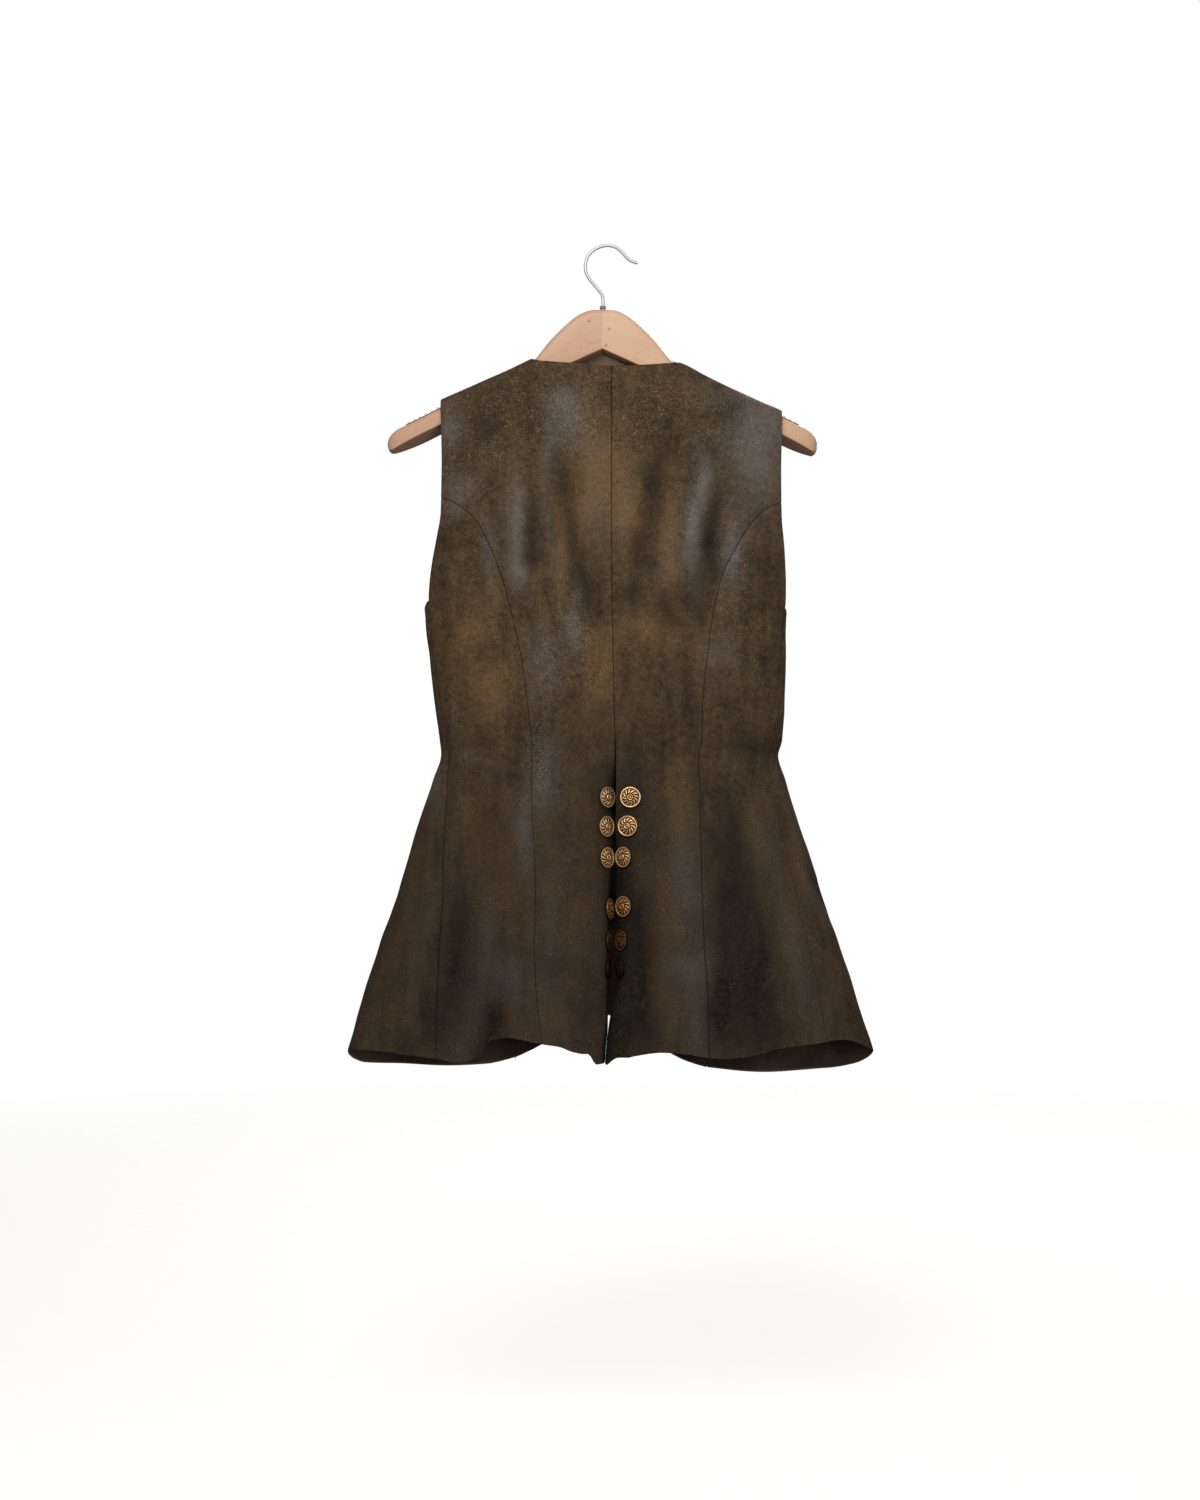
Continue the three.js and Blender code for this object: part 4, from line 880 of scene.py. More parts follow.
def beech(name, light, dark, lean, knots):
    """Beech, planed and sanded under a thin clear lacquer: pale pinkish tan, with fine straight grain along
    the arm, the short dark flecks of its rays, and a few pin knots."""
    material, tree, shader = start_material(name)
    place = add(tree, "ShaderNodeTexCoord").outputs["Object"]
    turned = {"Vector": place}
    long_way = {"Rotation": (0, lean, 0), "Scale": (18.0, 1.0, 1.0)}
    short_way = {"Rotation": (0, lean, 0), "Scale": (6.0, 1.0, 1.0)}
    along = add(tree, "ShaderNodeMapping", long_way, turned, vector_type="TEXTURE").outputs[0]
    short = add(tree, "ShaderNodeMapping", short_way, turned, vector_type="TEXTURE").outputs[0]
    # Growth rings about 4 mm apart, drawn out along the arm, and flecks about 1.1 mm wide and 7 mm long
    ring_size = {"Scale": 240.0, "Detail": 4.0, "Roughness": 0.6}
    rings = add(tree, "ShaderNodeTexNoise", ring_size, {"Vector": along})
    fleck = add(tree, "ShaderNodeTexNoise", {"Scale": 900.0, "Detail": 2.0}, {"Vector": short})
    cloud = add(tree, "ShaderNodeTexNoise", {"Scale": 26.0, "Detail": 3.0}, {"Vector": place})
    warm = add(tree, "ShaderNodeMapRange", {1: 0.4, 2: 0.7, 3: 0.0, 4: 0.3}, {0: cloud.outputs[0]})
    spots = add(tree, "ShaderNodeMapRange", {1: 0.64, 2: 0.74, 3: 0.0, 4: 0.4}, {0: fleck.outputs[0]})
    layers = [(rings.outputs[0], light), (warm.outputs[0], "#C8966F"), (spots.outputs[0], "#9A6B4C")]
    # Pin knots in the arm's back face: a distance from each one's middle
    for x, z, size in knots:
        middle = {1: (x * MM, KNOT_Y * MM, z * MM)}
        away = add(tree, "ShaderNodeVectorMath", middle, {0: place}, operation="DISTANCE")
        fade = {1: 0.3 * size * MM, 2: size * MM, 3: 0.65, 4: 0.0}
        knot = add(tree, "ShaderNodeMapRange", fade, {0: away.outputs["Value"]})
        layers.append((knot.outputs[0], "#9C5F43"))
    colour = None
    for amount, hue in layers:
        links = {0: amount}
        values = {6: hex_colour(dark), 7: hex_colour(hue)}
        if colour:
            links[6] = colour
            values = {7: hex_colour(hue)}
        colour = add(tree, "ShaderNodeMix", values, links, data_type="RGBA").outputs[2]
    # Painted shade: faces turned down are given a darker, warm brown
    facing = add(tree, "ShaderNodeNewGeometry").outputs["True Normal"]
    upward = add(tree, "ShaderNodeSeparateXYZ", links={0: facing}).outputs["Z"]
    under = add(tree, "ShaderNodeMapRange", {1: -0.2, 2: -0.6, 3: 0.0, 4: 0.8}, {0: upward})
    colour = add(
        tree, "ShaderNodeMix", {7: hex_colour("#D09C78")}, {0: under.outputs[0], 6: colour}, data_type="RGBA"
    ).outputs[2]
    tree.links.new(colour, shader.inputs["Base Color"])
    shader.inputs["Roughness"].default_value = 0.42
    shader.inputs["Coat Weight"].default_value = 0.08
    shader.inputs["Coat Roughness"].default_value = 0.3
    shader.inputs["Specular IOR Level"].default_value = 0.35
    bump = add(tree, "ShaderNodeBump", {"Strength": 0.15, "Distance": 0.0003}, {"Height": rings.outputs[0]})
    tree.links.new(bump.outputs[0], shader.inputs["Normal"])
    return material


def ribbed_rubber():
    """Moulded rubber: milky white and a little dusty."""
    material, tree, shader = start_material("moulded_rubber_milky")
    place = add(tree, "ShaderNodeTexCoord").outputs["Object"]
    # Dust in patches about 4 mm across
    dust = add(tree, "ShaderNodeTexNoise", {"Scale": 260.0, "Detail": 4.0}, {"Vector": place})
    final = add(
        tree,
        "ShaderNodeMix",
        {6: hex_colour("#CDBBAE"), 7: hex_colour("#E4D9D0")},
        {0: dust.outputs[0]},
        data_type="RGBA",
    )
    tree.links.new(final.outputs[2], shader.inputs["Base Color"])
    shader.inputs["Roughness"].default_value = 0.6
    bump = add(tree, "ShaderNodeBump", {"Strength": 0.1, "Distance": 0.0002}, {"Height": dust.outputs[0]})
    tree.links.new(bump.outputs[0], shader.inputs["Normal"])
    return material


def plated_steel(name, bright, dull):
    """Drawn steel wire, nickel plated: a satin cool grey, a little cloudy where the plating has aged."""
    material, tree, shader = start_material(name)
    place = add(tree, "ShaderNodeTexCoord").outputs["Object"]
    # Clouds about 8 mm across
    cloud = add(tree, "ShaderNodeTexNoise", {"Scale": 120.0, "Detail": 3.0}, {"Vector": place})
    final = add(
        tree,
        "ShaderNodeMix",
        {6: hex_colour(dull), 7: hex_colour(bright)},
        {0: cloud.outputs[0]},
        data_type="RGBA",
    )
    tree.links.new(final.outputs[2], shader.inputs["Base Color"])
    rough = add(tree, "ShaderNodeMapRange", {3: 0.48, 4: 0.58}, {0: cloud.outputs[0]})
    tree.links.new(rough.outputs[0], shader.inputs["Roughness"])
    shader.inputs["Metallic"].default_value = 0.55
    return material


SHARP_FROM = 38  # degrees between two faces from which their edge is drawn sharp


def make_piece(name, vertices, faces, materials, smooth=True):
    """A mesh object at the origin from points in millimetres and lists of faces."""
    mesh = bpy.data.meshes.new(name)
    mesh.from_pydata((np.asarray(vertices) * MM).tolist(), [], faces)
    for material in materials:
        mesh.materials.append(material)
    if smooth:
        mesh.shade_smooth()
        mesh.set_sharp_from_angle(angle=math.radians(SHARP_FROM))
    made = bpy.data.objects.new(name, mesh)
    bpy.context.scene.collection.objects.link(made)
    return made


def grid_quads(rows, columns, first=0, closed=False):
    """Four corners of each cell of a grid of points stored row by row."""
    i, j = np.meshgrid(np.arange(rows - 1), np.arange(columns if closed else columns - 1), indexing="ij")
    k = (j + 1) % columns
    cells = [i * columns + j, (i + 1) * columns + j, (i + 1) * columns + k, i * columns + k]
    return first + np.stack(cells, axis=-1).reshape(-1, 4)


nubuck = waxed_nubuck()
flesh = flesh_side()
brass = antique_brass()

NO_SEAM = 99.0  # stands for a seam too far off to matter
FRONT_RELIEF, BACK_RELIEF = 0.7, 1.3  # strength of the creases
# The front's marks hold painted highlight and shade as well as wear
FRONT_MARKS = 0.7  # strength of the front's wear
# Depth, size and seed of the leather's two sizes of swell
BROAD_SWELL = (0.7, 52, 3)
SMALL_SWELL = (0.35, 21, 4)


def leather_piece(name, replaced, points, normals, seams):
    """One panel: the outer face sinks to its seams by a bell curve and turns down at every edge by a quarter
    circle; the inner face lies the leather's thickness inside it and turns up to meet it."""
    rows, columns = points.shape[:2]
    across = np.linalg.norm(np.diff(points, axis=1), axis=-1)
    along = np.linalg.norm(np.diff(points, axis=0), axis=-1)
    from_left = np.pad(np.cumsum(across, axis=1), ((0, 0), (1, 0)))
    from_top = np.pad(np.cumsum(along, axis=0), ((1, 0), (0, 0)))
    from_right = from_left[:, -1:] - from_left
    from_bottom = from_top[-1:] - from_top
    nearest = np.minimum(np.minimum(from_left, from_right), np.minimum(from_top, from_bottom))
    to_seam = np.minimum.reduce([
        np.where(seams["top"][None, :], from_top, NO_SEAM),
        np.where(seams["left"][:, None], from_left, NO_SEAM),
        np.where(seams["right"][:, None], from_right, NO_SEAM),
    ])
    x, z = points[..., 0], points[..., 2]
    # The relief fades out towards the shoulders, at every edge, beside the vent and down the front's opening
    clear = ease(-190, -250, z) * ease(0, 14, nearest)
    by_buttons = np.where(z < -500, ease(34, 60, np.abs(x - FRONT_MIDDLE)), 1)
    by_front = np.where(normals[..., 1] > 0, ease(26, 50, np.abs(x - FRONT_MIDDLE)), 1)
    quiet = clear * np.minimum(by_buttons, by_front)
    in_front = points[..., 1] > section("side", z)
    mark_x = np.where(in_front, 2 * FRONT_MIDDLE - x, x)
    creases = np.where(in_front, FRONT_RELIEF, BACK_RELIEF) * crease_height(mark_x, z)
    depth, *broad = BROAD_SWELL
    shallow, *small = SMALL_SWELL
    lift = creases + depth * swell(x, z, *broad) + shallow * swell(x + 0.3 * z, z, *small)
    dip = SEAM_DIP * np.exp(-((to_seam / SEAM_REACH) ** 2)) * ease(-150, -200, z)
    base = points + normals * (lift * quiet - dip)[..., None]
    quarter = 1 - np.sqrt(1 - (1 - np.minimum(nearest / EDGE_ROUND, 1)) ** 2)
    turned = EDGE_TURN * EDGE_ROUND * quarter
    outer = base - normals * turned[..., None]
    inner = base - normals * (LEATHER - turned)[..., None]
    count = rows * columns
    top = np.arange(columns)
    side = np.arange(rows) * columns
    rims = [top, (rows - 1) * columns + top[::-1], side[::-1], side + columns - 1]
    outer_faces = grid_quads(rows, columns)
    inner_faces = grid_quads(rows, columns, count)[:, ::-1]
    rim_faces = np.vstack([np.stack([r[:-1], r[1:], r[1:] + count, r[:-1] + count], axis=1) for r in rims])
    faces = np.vstack([outer_faces, rim_faces, inner_faces])
    corners = outer[1, 1], outer[2, 1], outer[1, 2]
    facing = np.cross(corners[1] - corners[0], corners[2] - corners[0]) @ normals[1, 1]
    if facing < 0:
        faces = faces[:, ::-1]
    vertices = np.vstack([outer.reshape(-1, 3), inner.reshape(-1, 3)])
    made = make_piece(name, vertices, faces.tolist(), [nubuck, flesh])
    inside = np.zeros(len(faces), np.int32)
    inside[len(outer_faces) + len(rim_faces) :] = 1
    made.data.polygons.foreach_set("material_index", inside)
    plainer = np.where(in_front, FRONT_MARKS, 1.0)
    all_marks = (PALE_BURNISH_AND_HIGHLIGHT, OCHRE_WEAR, DARK_WEAR_AND_SHADE, SPECKLED_WEAR)
    pale, ochre, dark, speckled = (plainer * mark_strength(marks, mark_x, z) for marks in all_marks)
    # Painted shade: the skirt is darker than the body, and so is what faces the sides
    low = 0.7 * ease(-400, -660, z) + 0.12 * ease(0.75, 1.0, np.abs(normals[..., 0]))
    # Painted shade along the vent's fold: beside its right edge, and where its left edge turns in sharply
    from_edge = x - vent("right_x", z)
    right_edge_painted_shade = 1.6 * (from_edge > -3) * ease(62, -8, from_edge) ** 2
    left_turn_painted_shade = (from_edge <= -3) * (from_edge > -40) * ease(0.86, 1.0, np.abs(normals[..., 0]))
    vent_fold_painted_shade = np.where(in_front, 0, (right_edge_painted_shade + left_turn_painted_shade) * ease(-610, -720, z))
    # What stands up is paler, as burnish and painted highlight; what lies low is darker, as painted shade;
    # cut edges are rubbed
    folds = np.where(normals[..., 1] < 0, fold_height(BACK_FOLDS, x, z), fold_height(FRONT_FOLDS, x, z))
    relief_highlight_and_shade = np.clip(0.45 * creases + 0.09 * folds, -1, 1)
    pale = np.clip(pale + 0.3 * np.maximum(relief_highlight_and_shade, 0), 0, 1)
    dark = np.clip(dark + low + 0.36 * np.maximum(-relief_highlight_and_shade, 0) + vent_fold_painted_shade, 0, 1.5)
    rubbed = np.exp(-((np.minimum(nearest, 9) / 1.6) ** 2)) * (to_seam > 3)
    speckled = np.clip(speckled + 0.18 + 0.2 * swell(x, z, 40, 21) + 0.5 * rubbed, 0, 1)
    wear_and_shade = np.stack([pale, ochre, dark, speckled], axis=-1).reshape(-1, 4)
    colours = made.data.attributes.new("wear_and_shade", "FLOAT_COLOR", "POINT")
    colours.data.foreach_set("color", np.vstack([wear_and_shade, wear_and_shade]).astype(np.float32).ravel())
    # Distance to the nearest seam, in centimetres
    near = to_seam.reshape(-1) / 10
    edge = made.data.attributes.new("edge", "FLOAT", "POINT")
    edge.data.foreach_set("value", np.concatenate([near, near]).astype(np.float32))
    cells = [outer[:-1, :-1], outer[1:, :-1], outer[1:, 1:], outer[:-1, 1:]]
    area = 0.5 * np.linalg.norm(np.cross(cells[2] - cells[0], cells[3] - cells[1]), axis=-1).sum() * 1e-6
    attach(made, "root")
    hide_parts(replaced)
    return made, area


PANELS = [
    ("back", back_panel),
    ("side_back", back_side),
    ("side_front", front_side),
    ("front", front_panel),
]
made_panels = {}
for part, grid_of in PANELS:
    for side in ("left", "right"):
        points, normals, seams = grid_of(side)
        node = part + "_" + side
        made_panels[node] = leather_piece("leather_" + node, node, points, normals, seams)


# Buttons: 22 mm, cast with a roped rim, a ring of curled leaves and a ring boss
BUTTON_ANGLES = 96
RIM_START = 9.45  # radius at which the rim takes over from the dome
SPIN_STEP = 47  # degrees from one button to the next
BUTTON_FACE = 0.965  # size of the cast button beside the shape below


def button_relief(r, angle):
    """Height of the button's face: a dome that falls with the square of the radius, a rim on the outer
    millimetre roped by a cosine, twelve leaves that curl with the radius, and a ring round a bead."""
    dome = 3.8 - 2.4 * (r / 9.5) ** 2
    rope = np.cos(34 * angle + 2 * r)
    rim = 1.72 + 0.42 * np.sqrt(np.clip(1 - ((r - 10.25) / 0.85) ** 2, 0, 1)) * (1 + 0.22 * rope)
    leaf_zone = np.exp(-(((r - 6.5) / 2.1) ** 4))
    leaves = np.cos(12 * angle + 1.1 * (r - 6.5)) * leaf_zone
    veins = np.cos(24 * angle - 1.6 * (r - 7.5)) * np.exp(-(((r - 8.3) / 0.75) ** 2))
    ring = np.exp(-(((r - 2.5) / 0.55) ** 2))
    bead = np.exp(-((r / 0.85) ** 2))
    hollow = np.exp(-(((r - 3.75) / 0.5) ** 2)) + np.exp(-(((r - 1.45) / 0.4) ** 2))
    channel = np.exp(-(((r - 9.25) / 0.35) ** 2))
    carved = 0.42 * leaves + 0.2 * veins + 0.42 * ring + 0.3 * bead - 0.3 * hollow - 0.25 * channel
    height = np.where(r > RIM_START, np.maximum(rim, dome - 0.1), dome + carved)
    shown = np.where(r > RIM_START, 0.62 + 0.2 * rope, 0.42 + 0.75 * carved)
    return height, np.clip(shown, 0, 1)


def button_shape():
    """Rings from the face's middle to its rim, round the edge and back to the middle of the flat back."""
    angle = np.arange(BUTTON_ANGLES) * 2 * np.pi / BUTTON_ANGLES
    face_r = np.concatenate([np.linspace(0.3, 9.3, 30), np.linspace(9.5, 10.9, 8)])
    height, shown = button_relief(face_r[:, None], angle[None, :])
    edge_r = np.array([11.0, 10.95, 10.6, 9.8, 5.0, 0.3])
    edge_z = np.array([1.25, 0.75, 0.25, 0.0, 0.0, 0.0])
    radii = np.concatenate([face_r, edge_r])[:, None] * np.ones_like(angle)[None, :]
    heights = np.vstack([height, edge_z[:, None] * np.ones_like(angle)[None, :]])
    relief = np.vstack([shown, np.full((len(edge_r), BUTTON_ANGLES), 0.35)])
    rings = np.stack([radii * np.cos(angle), radii * np.sin(angle), heights], axis=-1)
    vertices = rings.reshape(-1, 3)
    faces = grid_quads(len(radii), BUTTON_ANGLES, closed=True).tolist()
    last = (len(radii) - 1) * BUTTON_ANGLES
    faces.append(list(range(BUTTON_ANGLES)))
    faces.append(list(range(last, last + BUTTON_ANGLES))[::-1])
    return vertices, faces, relief.reshape(-1)


def button_seat(node):
    """Middle of the CAD button's flat back and its axis: the direction in which its points spread least,
    pointing to the end where they lie close to the axis."""
    co = np.zeros(len(node.data.vertices) * 3)
    node.data.vertices.foreach_get("co", co)
    p = co.reshape(-1, 3) / MM
    middle = 0.5 * (p.min(axis=0) + p.max(axis=0))
    axis = np.linalg.eigh(np.cov((p - p.mean(axis=0)).T))[1][:, 0]
    height = (p - middle) @ axis
    radius = np.linalg.norm(p - middle - height[:, None] * axis, axis=1)
    high = radius[height > height.max() - 0.5].mean()
    low = radius[height < height.min() + 0.5].mean()
    if high > low:
        axis = -axis
        height = -height
    base = p[height < height.min() + 0.05]
    centre = base.mean(axis=0)
    rim = p[np.linalg.norm(p - middle - ((p - middle) @ axis)[:, None] * axis, axis=1) > 10.5]
    ring_middle = 0.5 * (rim.min(axis=0) + rim.max(axis=0))
    centre = ring_middle + axis * ((centre - ring_middle) @ axis)
    return centre, axis


shape, button_faces, relief = button_shape()
# Painted shade and light: the lower pairs, which lie in the fold of the vent, are darkened as shade, and the
# upper pairs a little brightened
BUTTON_RUBBING_AND_SHADE = {"left": [1.08, 1.08, 1.05, 0.75, 0.45, 0.25], "right": [1.05, 1.05, 1.0, 0.85, 0.6, 0.3]}
BUTTON_NODES = [f"vent_button_{side}_{i}" for side in ("left", "right") for i in range(1, 7)]
BUTTON_NODES += [f"front_button_{i}" for i in range(1, 9)]
for number, name in enumerate(BUTTON_NODES):
    centre, axis = button_seat(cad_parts[name])
    spin = math.radians(SPIN_STEP * number)
    side_way = unit(np.cross(axis, [0.0, 0.0, 1.0]))
    up_way = np.cross(axis, side_way)
    first = side_way * math.cos(spin) + up_way * math.sin(spin)
    second = np.cross(axis, first)
    placed = centre + BUTTON_FACE * shape @ np.stack([first, second, axis])
    button = make_piece("brass_" + name, placed, button_faces, [brass])
    shown = button.data.attributes.new("relief", "FLOAT", "POINT")
    side = name.split("_")[2]
    rubbing_and_shade = BUTTON_RUBBING_AND_SHADE[side][int(name[-1]) - 1] if side in BUTTON_RUBBING_AND_SHADE else 1.0
    shown.data.foreach_set("value", (relief * rubbing_and_shade).astype(np.float32))
    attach(button, "root")
    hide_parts(name)


# Hanger. An arm's sections: distance from the hanger's middle, heights of the top, of the lower edge behind
# and of the one in front, and half the thickness
hanger_arm = table(
    ["out", "top", "low", "lip", "half"],
    [
        [0.15, -64.6, -106.6, -108.8, 7.5],
        [11, -65.2, -111.5, -113.7, 7.5],
        [22.7, -69.2, -116.7, -118.9, 7.5],
        [33, -76.4, -121.3, -123.5, 7.5],
        [54, -96.4, -130.6, -132.8, 7.4],
        [61, -104.8, -133.8, -136, 7.3],
        [68, -113.4, -136.9, -138.8, 7],
        [75, -119.9, -140, -142.3, 7],
        [82, -124.2, -143.1, -145.8, 7.5],
        [100, -131.4, -151.2, -154.9, 8.4],
        [125, -143.4, -162.3, -167.6, 9.2],
        [150, -154.6, -173.5, -180.2, 10.2],
        [172, -164.6, -183.3, -190.6, 11.2],
        [190, -172.6, -191.4, -198.4, 12],
        [205, -178.9, -198.2, -203.6, 12.2],
        [215, -183, -203, -206.4, 11.6],
        [221, -187.2, -205.6, -207.6, 9.4],
        [224.5, -191.4, -204.2, -205.6, 6.2],
        [226.2, -196, -200.6, -201.4, 2.6],
    ],
)
ARM_EDGE = 1.6  # radius of the lower edges
RIGHT_ARM_DEEPER = 2.4  # the right arm's end reaches down by this much more


def arm_rings(sign, out):
    """Upright sections of an arm: half an ellipse on top, two flat sides, small round lower edges and a lower
    face that falls forwards."""
    y = (ARM_SWEEP * out * out)[:, None]
    half, top, low, lip = (hanger_arm(c, out)[:, None] for c in ("half", "top", "low", "lip"))
    if sign > 0:
        deeper = RIGHT_ARM_DEEPER * ease(110, 215, out)[:, None]
        low = low - 0.6 * deeper
        lip = lip - deeper
    rounding = np.minimum(half, 0.45 * (top - low))
    crown = np.radians(np.linspace(180, 0, 25))[None, :]
    corner = np.radians(np.linspace(0, 90, 5))[None, :]
    back_y = y - half + ARM_EDGE - ARM_EDGE * np.sin(corner)
    back_z = low + ARM_EDGE - ARM_EDGE * np.cos(corner)
    crown_y = y + half * np.cos(crown)
    crown_z = top - rounding + rounding * np.sin(crown)
    front_y = y + half - ARM_EDGE + ARM_EDGE * np.cos(corner)
    front_z = lip + ARM_EDGE - ARM_EDGE * np.sin(corner)
    ys = np.hstack([back_y, crown_y, front_y])
    zs = np.hstack([back_z, crown_z, front_z])
    xs = np.broadcast_to((HANGER_MIDDLE + sign * out)[:, None], ys.shape)
    return np.stack([xs, ys, zs], axis=-1)


def loft(name, rings, material, replaced, smooth=True):
    """A closed skin over rings of points, with a flat face on the first and on the last."""
    count, around = rings.shape[:2]
    faces = grid_quads(count, around, closed=True).tolist()
    faces.append(list(range(around)))
    faces.append(list(range((count - 1) * around, count * around))[::-1])
    made = make_piece(name, rings.reshape(-1, 3), faces, [material], smooth)
    centre = rings.mean(axis=(0, 1))
    mesh = made.data
    volume = sum(
        p.area * (np.array(p.center) / MM - centre) @ np.array(p.normal) for p in mesh.polygons
    )
    if volume < 0:
        mesh.flip_normals()
    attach(made, "root")
    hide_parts(replaced)
    return made


outs = np.unique(np.concatenate([np.linspace(0.03, 215, 130), np.linspace(215, 226.2, 24)]))
beech_left = beech("beech_lacquered_left", "#D6B198", "#C89F84", -0.4, [[-19, -78, 2.6]])
beech_right = beech("beech_lacquered_right", "#E2BFA2", "#D4AC8E", 0.4, [[1.6, -86, 2.2], [-1.5, -103, 2.4]])
loft("wood_arm_left", arm_rings(-1, outs), beech_left, "hanger_arm_left")
loft("wood_arm_right", arm_rings(1, outs), beech_right, "hanger_arm_right")

# Ribbed strips on the arms
RIB_FIRST = 163  # the first rib starts this far from the hanger's middle
RIB_PITCH = 6.2
RIB_COUNT = 7
RIB_BASE = 0.6  # height of the strip between its ribs
RIB_HEIGHT = 1.8  # of a rib above that
RIB_HALF = 4  # half the strip's width
RIB_SEAT = 0.3  # the strip starts this much above the arm's top line


def rib_rings(sign):
    """Sections across the strip: a base whose crown rises and falls by half a sine over each rib."""
    out = np.linspace(RIB_FIRST, RIB_FIRST + RIB_COUNT * RIB_PITCH, RIB_COUNT * 16 + 1)
    share = ((out - RIB_FIRST) / RIB_PITCH) % 1
    rise = np.sin(np.pi * np.clip((share - 0.2) / 0.6, 0, 1)) ** 0.8
    seat = hanger_arm("top", out) + RIB_SEAT
    crown = RIB_BASE + rise * RIB_HEIGHT
    across = np.array([-1, -1, -0.92, -0.7, -0.35, 0, 0.35, 0.7, 0.92, 1, 1])
    up = np.array([0, 0.45, 0.72, 0.9, 0.98, 1, 0.98, 0.9, 0.72, 0.45, 0])
    ys = (ARM_SWEEP * out * out)[:, None] + RIB_HALF * across[None, :]
    zs = seat[:, None] + crown[:, None] * up[None, :]
    xs = np.broadcast_to((HANGER_MIDDLE + sign * out)[:, None], ys.shape)
    return np.stack([xs, ys, zs], axis=-1)


rubber = ribbed_rubber()
for side, sign in (("left", -1), ("right", 1)):
    loft("ribs_" + side, rib_rings(sign), rubber, "rib_strip_" + side)

# Hook
WIRE_RADIUS = 1.7
STEM_X = -4.8
WIRE_STEPS = 260
# Middle of the wire, across and up, from inside the arms to its open end
HOOK_LINE = [
    [-4.8, -85], [-4.8, -76], [-4.8, -68], [-4.6, -56], [-5.6, -49.6], [-12, -41], [-18.5, -33.2],
    [-22, -26.6], [-22.9, -19.6], [-21.2, -11.6], [-16.4, -4.8], [-9, -0.2], [0, 1.7], [8.5, -0.2],
    [15, -5.2], [19.6, -10.4], [24, -13.9], [29.6, -16.2],
]


def wire_rings():
    """Circles square to the hook's line, with a half ball of circles on its open end."""
    line = curve(HOOK_LINE, np.linspace(0, 1, WIRE_STEPS))
    way = unit(np.gradient(line, axis=0))
    ball = np.radians(np.linspace(12, 84, 7))
    line = np.vstack([line, line[-1] + way[-1] * (WIRE_RADIUS * np.sin(ball))[:, None]])
    way = np.vstack([way, np.repeat(way[-1:], len(ball), axis=0)])
    radius = np.concatenate([np.full(WIRE_STEPS, WIRE_RADIUS), WIRE_RADIUS * np.cos(ball)])[:, None]
    angle = np.arange(20)[None, :] * np.pi / 10
    across = radius * np.cos(angle)
    xs = line[:, :1] - way[:, 1:] * across
    zs = line[:, 1:] + way[:, :1] * across
    return np.stack([xs, radius * np.sin(angle), zs], axis=-1)


loft("hook_wire", wire_rings(), plated_steel("nickel_plated_wire", "#E2E4E8", "#CDD0D5"), "hook")

# Collar round the stem: a ring turned from a square section with an eased top
COLLAR_SECTION = np.array([
    [2.3, -64.2], [3.1, -64.2], [3.1, -62.0], [3.0, -61.5], [2.7, -61.2], [2.3, -61.2],
])


def collar():
    """The ring's section turned round the stem."""
    angle = (np.arange(48) * np.pi / 24)[:, None]
    r, z = COLLAR_SECTION[None, :, 0], COLLAR_SECTION[None, :, 1]
    rings = np.stack([STEM_X + r * np.cos(angle), r * np.sin(angle), z + 0 * angle], axis=-1)
    count, around = rings.shape[:2]
    i, j = np.meshgrid(np.arange(count), np.arange(around), indexing="ij")
    ni, nj = (i + 1) % count, (j + 1) % around
    cells = [i * around + j, ni * around + j, ni * around + nj, i * around + nj]
    faces = np.stack(cells, axis=-1).reshape(-1, 4).tolist()
    steel = plated_steel("blackened_steel", "#8A8C90", "#5E6064")
    made = make_piece("stem_collar", rings.reshape(-1, 3), faces, [steel])
    outward = made.data.polygons[1].normal
    where = np.array(made.data.polygons[1].center) / MM - [STEM_X, 0, 0]
    if outward[0] * where[0] + outward[1] * where[1] < 0:
        made.data.flip_normals()
    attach(made, "root")
    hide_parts("hook_collar")


collar()

# The loop reads each panel's box. A cut estimated from it, its height and 3 % more by nine tenths of the
# level diagonal, would be 110 and 65 mm too narrow for the left and right side panels of the front, which
# bend round the body, and up to 14 mm too narrow for others. Each panel's area is measured from its own mesh.
for node, (panel, area) in made_panels.items():
    points = np.array([v.co for v in panel.data.vertices])
    size = points.max(axis=0) - points.min(axis=0)


# Floor: a wide pale disc below the vest that fades out into the white round it
FLOOR_Z = -1.3
FLOOR_RADIUS = 6000


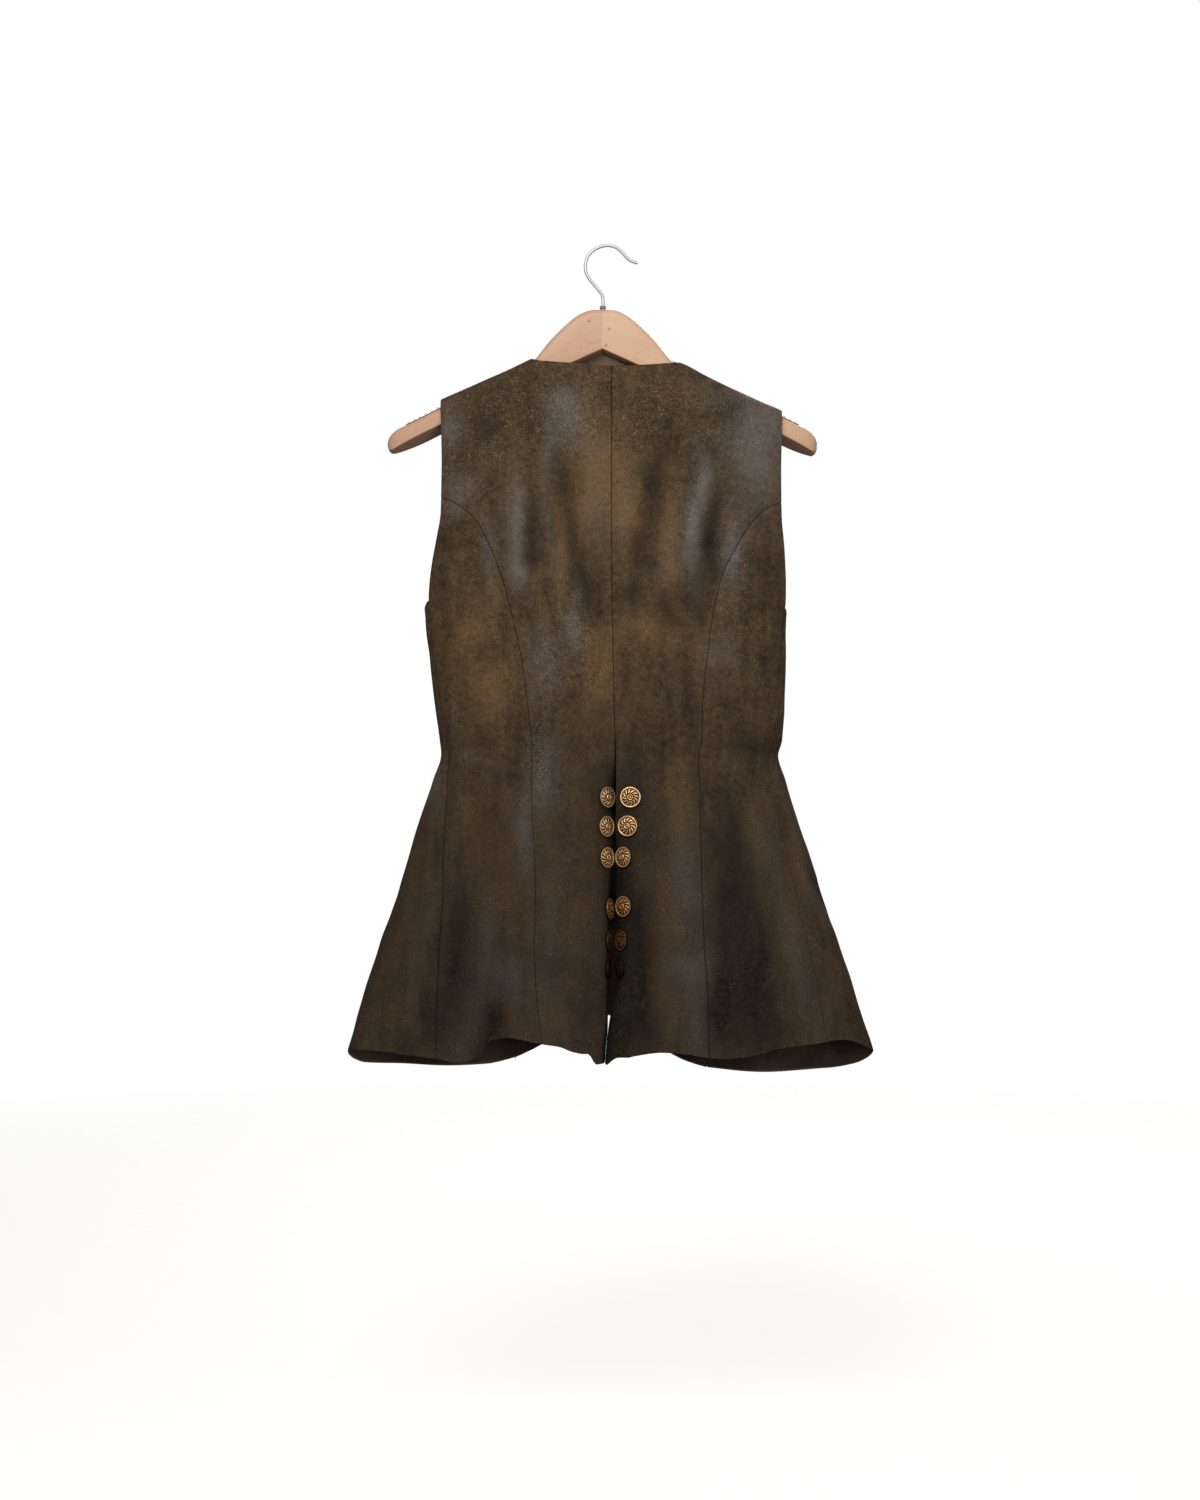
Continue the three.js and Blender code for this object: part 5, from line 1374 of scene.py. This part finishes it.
def studio_floor():
    """Matt white board, faded to clear with the distance from its middle."""
    angle = np.arange(96) * np.pi / 48
    round_way = [FLOOR_RADIUS * np.cos(angle), FLOOR_RADIUS * np.sin(angle)]
    ring = np.stack([*round_way, np.full(len(angle), FLOOR_Z / MM)], axis=1)
    material, tree, shader = start_material("matt_white_board")
    place = add(tree, "ShaderNodeTexCoord").outputs["Object"]
    length = add(tree, "ShaderNodeVectorMath", links={0: place}, operation="LENGTH")
    # The distance includes the floor's depth below the origin
    fade = add(tree, "ShaderNodeMapRange", {1: 1.6, 2: 3.4, 3: 1.0, 4: 0.0}, {0: length.outputs["Value"]})
    grain = add(tree, "ShaderNodeTexNoise", {"Scale": 40.0, "Detail": 3.0}, {"Vector": place})
    tint = add(
        tree,
        "ShaderNodeMix",
        {6: hex_colour("#F1F0EE"), 7: hex_colour("#F8F7F5")},
        {0: grain.outputs[0]},
        data_type="RGBA",
    )
    tree.links.new(tint.outputs[2], shader.inputs["Base Color"])
    tree.links.new(fade.outputs[0], shader.inputs["Alpha"])
    shader.inputs["Roughness"].default_value = 0.9
    shader.inputs["Emission Color"].default_value = hex_colour("#FFFFFF")
    shader.inputs["Emission Strength"].default_value = 0.3
    floor = make_piece("floor", ring, [list(range(len(ring)))], [material], smooth=False)
    floor.visible_diffuse = False
    floor.visible_glossy = False


studio_floor()

# Soft studio light: a large softbox above the camera and left of it, a weaker one right of it, one on the far
# side for the front, and a pale surround. The surround is seen as white and lights the vest less, as in a
# cut-out photograph.
world = bpy.data.worlds.new("studio")
bpy.context.scene.world = world
world.use_nodes = True
sky = world.node_tree
sky.nodes.clear()
seen = add(sky, "ShaderNodeBackground", {"Color": (1, 1, 1, 1), "Strength": 1.0})
way_in = add(sky, "ShaderNodeTexCoord")
upward = add(sky, "ShaderNodeSeparateXYZ", links={0: way_in.outputs["Generated"]})
ceiling = add(sky, "ShaderNodeMapRange", {1: -0.6, 2: 0.7, 3: 0.12, 4: 0.42}, {0: upward.outputs["Z"]})
lighting = add(
    sky, "ShaderNodeBackground", {"Color": hex_colour("#FBF9F6")}, {"Strength": ceiling.outputs[0]}
)
path = add(sky, "ShaderNodeLightPath")
chosen = add(
    sky,
    "ShaderNodeMixShader",
    {},
    {0: path.outputs["Is Camera Ray"], 1: lighting.outputs[0], 2: seen.outputs[0]},
)
add(sky, "ShaderNodeOutputWorld", links={"Surface": chosen.outputs[0]})

# Name, place, size, watts and colour
SOFTBOXES = [
    ("key", (-0.45, -2.0, 0.8), 1.1, 31, "#FFFBF5"),
    ("fill", (1.0, -2.4, -0.3), 0.9, 15.5, "#FFFCF8"),
    ("back_fill", (0.6, 2.6, 0.8), 1.6, 34, "#FFFFFF"),
]
TARGET = np.array([0.0, 0.0, -0.42])
for name, place, size, power, tint in SOFTBOXES:
    light = bpy.data.lights.new(name, "AREA")
    light.shape = "SQUARE"
    light.size = size
    light.energy = power
    light.color = hex_colour(tint)[:3]
    lamp = bpy.data.objects.new(name, light)
    lamp.location = place
    way = unit(TARGET - np.array(place))
    pitch = math.acos(-way[2])
    lamp.rotation_euler = (pitch, 0, math.atan2(way[1], way[0]) - math.pi / 2)
    lamp.visible_camera = False
    bpy.context.scene.collection.objects.link(lamp)

bpy.context.scene.view_settings.view_transform = "Standard"
